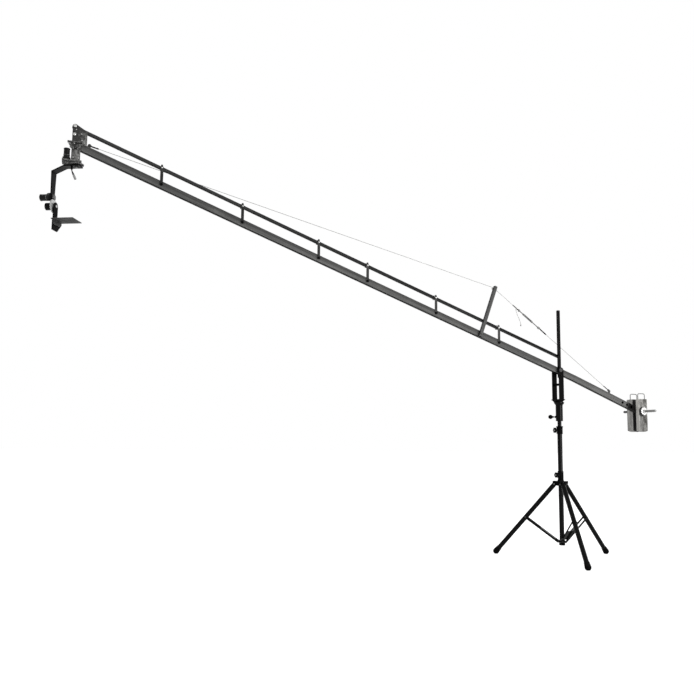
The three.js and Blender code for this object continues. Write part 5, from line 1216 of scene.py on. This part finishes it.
def make_bracket():
    """The head bracket with its bolts, domed nuts and cap screws."""
    dress("head_bracket", "head_bracket_plates", "head", [bracket_grey], 0.9)
    grids = [
        dome(head_bench.spot(0, -BRACKET_SIDE, rise), -ACROSS, 12.6, 5, 1.5) for rise in (74, LINK_HEIGHT)
    ]
    for rise in (0, LINK_HEIGHT):
        grids += hex_head(head_bench.spot(0, BRACKET_SIDE, rise), ACROSS, 19, 6, 1)
    grids += hex_head(head_bench.spot(0, -BRACKET_SIDE, 0), -ACROSS, 13, 5)
    fasten("head_pin_bolts", grids, "head")
    front = [(x, -32.9, z) for x, z in ((50, 84), (57, 30), (-2, -118), (38, -118), (80, 12), (12, 116))]
    base = [(x, y, -137.1) for x in (-78, 58) for y in (-30, 30)]
    screws = screws_at(head_bench, front, -ACROSS, 4.6, 4.5) + screws_at(head_bench, base, UP, 3.8, 4)
    fasten("head_screws", screws, "head")


def make_motor(name, node, body, place, axis, foot, radius, collar):
    """A geared motor about its shaft: collar, gear case with a seam, finned can and a domed end bell. foot is
    where the case starts on the shaft, and collar the length before it."""
    length, fin_depth = 82, 0.5
    start, seam, end = foot - collar, foot + length * 0.36, foot + length
    run = np.linspace(seam + 3, end - 9, 64)
    fins = radius - 1.2 - fin_depth * (1 - wave(run - seam, 5))
    profile = mm([
        (start, 0), (start, radius * 0.82), (foot, radius * 0.82), (foot, radius), (seam - 1, radius),
        (seam, radius - 1.4), (seam + 1, radius - 1.4), (seam + 2, radius), *zip(run, fins),
        (end - 7, radius), (end - 2, radius), (end, radius - 3), (end, 9), (end + 2, 8), (end + 2, 0),
    ])
    make(name, [turn(profile, place, axis, 64)], motor_black, body, [node], smooth=40)
    screws = screw_circle(place + axis * (end - 0.4) * MM, axis, radius * 0.66, 2.6, 2.2)
    fasten(name + "_screws", screws, body)
    inner, outer = radius - 0.5, radius + 0.25
    band = mm([(seam - 6, inner), (seam - 6, outer), (seam - 3, outer), (seam - 3, inner)])
    make(name + "_band", [], fitting_grey, body, slot="motor_black", loops=[turn(band, place, axis, 64)])


def make_pan_drive():
    """Pan motor on its square foot, the pinion and the large wheel below the bracket's base."""
    shaft_x, shaft_y, _ = place_of("pan_pinion_turn")
    bench = Bench([shaft_x, shaft_y, head_pin[2] + MOTOR_DECK * MM])
    make_motor("pan_motor_case", "pan_motor", "head", bench.origin, UP, 15.6, 25, 1)
    foot = bench.put(slab(rounded_outline(62, 62, 6), 0, 16, 1.4))
    make("pan_motor_foot", [foot], motor_black, "head", slot="motor_black")
    corners = [(x, y, 15.9) for x in (-25, 25) for y in (-25, 25)]
    fasten("pan_motor_foot_screws", screws_at(bench, corners, UP, 3.4, 3.4), "head")
    dress("pan_pinion", "pan_drive_pinion", "head_pinion", [gear_steel], 0.3)
    dress("pan_gear", "pan_drive_wheel", "head_arm", [dark_gear_alloy], 0.4)


def make_drop_arm():
    """The drop arm and bearing housing, its pinch screws, and the tilt motor with its terminal tube."""
    dress("drop_arm", "drop_arm_bar", "head_arm", [arm_gloss], 1.6, 3)
    back = -tilt_axis
    shaft = arm_bench.spot(TILT_MOTOR_FACE, 0, TILT_MOTOR_DROP)
    make_motor("tilt_motor_case", "tilt_motor", "head_arm", shaft, back, 12, 28, 11.7)
    profile = soften(mm([(0, 0), (0, 5), (30, 5), (32, 3.5), (42, 3), (42, 0)]), MM)
    tube = turn(profile, arm_bench.spot(TILT_MOTOR_FACE, 0, TILT_MOTOR_DROP + 33), back, 32)
    make("tilt_motor_terminal", [tube], motor_black, "head_arm", slot="motor_black")
    rim = ring(arm_bench.spot(TILT_MOTOR_FACE - 41.4, 0, TILT_DROP), back, 22 * MM, 1.4 * MM)
    make("tilt_bearing_ring", [], gear_alloy, "head_arm", slot="gear_alloy", loops=[rim])
    screws = screw_circle(arm_bench.spot(BEARING_FACE, 0, TILT_DROP), tilt_axis, 25, 2.6, 2.4)
    fasten("tilt_bearing_screws", screws, "head_arm")


def make_cradle():
    """The tilt wheel, the cradle plate and the camera plate with its screws."""
    dress("tilt_pinion", "tilt_drive_pinion", "arm_pinion", [gear_steel], 0.3)
    dress("tilt_gear", "tilt_drive_wheel", "cradle", [gear_alloy], 0.4)
    dress("camera_cradle", "camera_cradle_plate", "cradle", [black_casting], 1.2, 3)
    dress("camera_plate", "camera_table", "cradle", [camera_plate_coat], 0.9)
    places = [(-162.2, y, TILT_DROP - 138) for y in (-24, 24, 62)]
    fasten("cradle_screws", screws_at(arm_bench, places, -tilt_axis, 4.2, 3.6), "cradle")


make_bracket()
make_pan_drive()
make_drop_arm()
make_cradle()


# Studio: a pale floor, a white surround and soft lamps
def shown_rays(tree):
    """One for the rays that show the background: camera, glossy and transmission rays."""
    rays = add(tree, "LightPath").outputs
    either = calculate(tree, "MAXIMUM", rays["Is Camera Ray"], rays["Is Glossy Ray"])
    return calculate(tree, "MAXIMUM", either, rays["Is Transmission Ray"])


def make_floor():
    """A wide floor, white to the camera where the lamps reach it, with the crane's own soft shadow."""
    reach = 60.0
    mesh = bpy.data.meshes.new("studio_floor")
    corners = [(-reach, -reach, 0), (reach, -reach, 0), (reach, reach, 0), (-reach, reach, 0)]
    mesh.from_pydata(corners, [], [(0, 1, 2, 3)])
    floor = bpy.data.objects.new("studio_floor", mesh)
    floor.location.z = -0.4 * MM
    bpy.context.scene.collection.objects.link(floor)
    material = bpy.data.materials.new("studio_floor")
    material.use_nodes = True
    tree = material.node_tree
    shader = tree.nodes["Principled BSDF"]
    shader.inputs["Base Color"].default_value = (0.34, 0.34, 0.34, 1)
    shader.inputs["Roughness"].default_value = 0.9
    shader.inputs["Specular IOR Level"].default_value = 0.1
    place = add(tree, "TexCoord").outputs["Object"]
    away = add(tree, "VectorMath", {0: place, 1: pole}, operation="DISTANCE").outputs["Value"]
    far = remap(tree, away, 0.72, 1.0, 0.6, 2.0)
    level = calculate(tree, "MULTIPLY", far, shown_rays(tree))
    glow = add(tree, "Emission", {"Color": (1, 1, 1, 1), "Strength": level})
    both = add(tree, "AddShader", {0: shader.outputs[0], 1: glow.outputs[0]})
    tree.links.new(both.outputs[0], tree.nodes["Material Output"].inputs["Surface"])
    mesh.materials.append(material)


def make_world():
    """White to the camera and in reflections, an even dim light for everything else."""
    world = bpy.data.worlds.new("studio_world")
    bpy.context.scene.world = world
    world.use_nodes = True
    tree = world.node_tree
    tree.nodes.clear()
    white = add(tree, "Background", {"Color": (1, 1, 1, 1), "Strength": 1.0})
    dim = add(tree, "Background", {"Color": (0.95, 0.97, 1.0, 1), "Strength": 0.42})
    mix = add(tree, "MixShader", {"Fac": shown_rays(tree), 1: dim.outputs[0], 2: white.outputs[0]})
    add(tree, "OutputWorld", {"Surface": mix.outputs[0]})


def make_lamp(name, place, aim, width, height, power, mirrored=False):
    """A flat soft lamp that looks at its aim; only the mirrored ones show in glossy surfaces."""
    data = bpy.data.lights.new(name, "AREA")
    data.shape = "RECTANGLE"
    data.size = width
    data.size_y = height
    data.energy = power
    lamp = bpy.data.objects.new(name, data)
    lamp.location = place
    lamp.visible_glossy = mirrored
    lamp.rotation_mode = "QUATERNION"
    lamp.rotation_quaternion = (Vector(aim) - Vector(place)).to_track_quat("-Z", "Y")
    bpy.context.scene.collection.objects.link(lamp)


MIDDLE = (0.0, 0.0, 2.0)
make_floor()
make_world()
make_lamp("key_lamp", (5.5, -6.5, 6.0), MIDDLE, 4.0, 4.0, 170, True)
make_lamp("front_lamp", (3.6, -6.0, 1.9), (1.9, 0.0, 1.9), 4.0, 3.4, 430, True)
make_lamp("fill_lamp", (-7.0, -6.0, 3.5), MIDDLE, 4.5, 4.5, 220)
make_lamp("top_lamp", (0.0, 0.5, 8.5), MIDDLE, 6.0, 6.0, 420)
make_lamp("back_lamp", (2.0, 8.0, 4.5), MIDDLE, 5.0, 5.0, 300)

bpy.context.scene.view_settings.view_transform = "Standard"
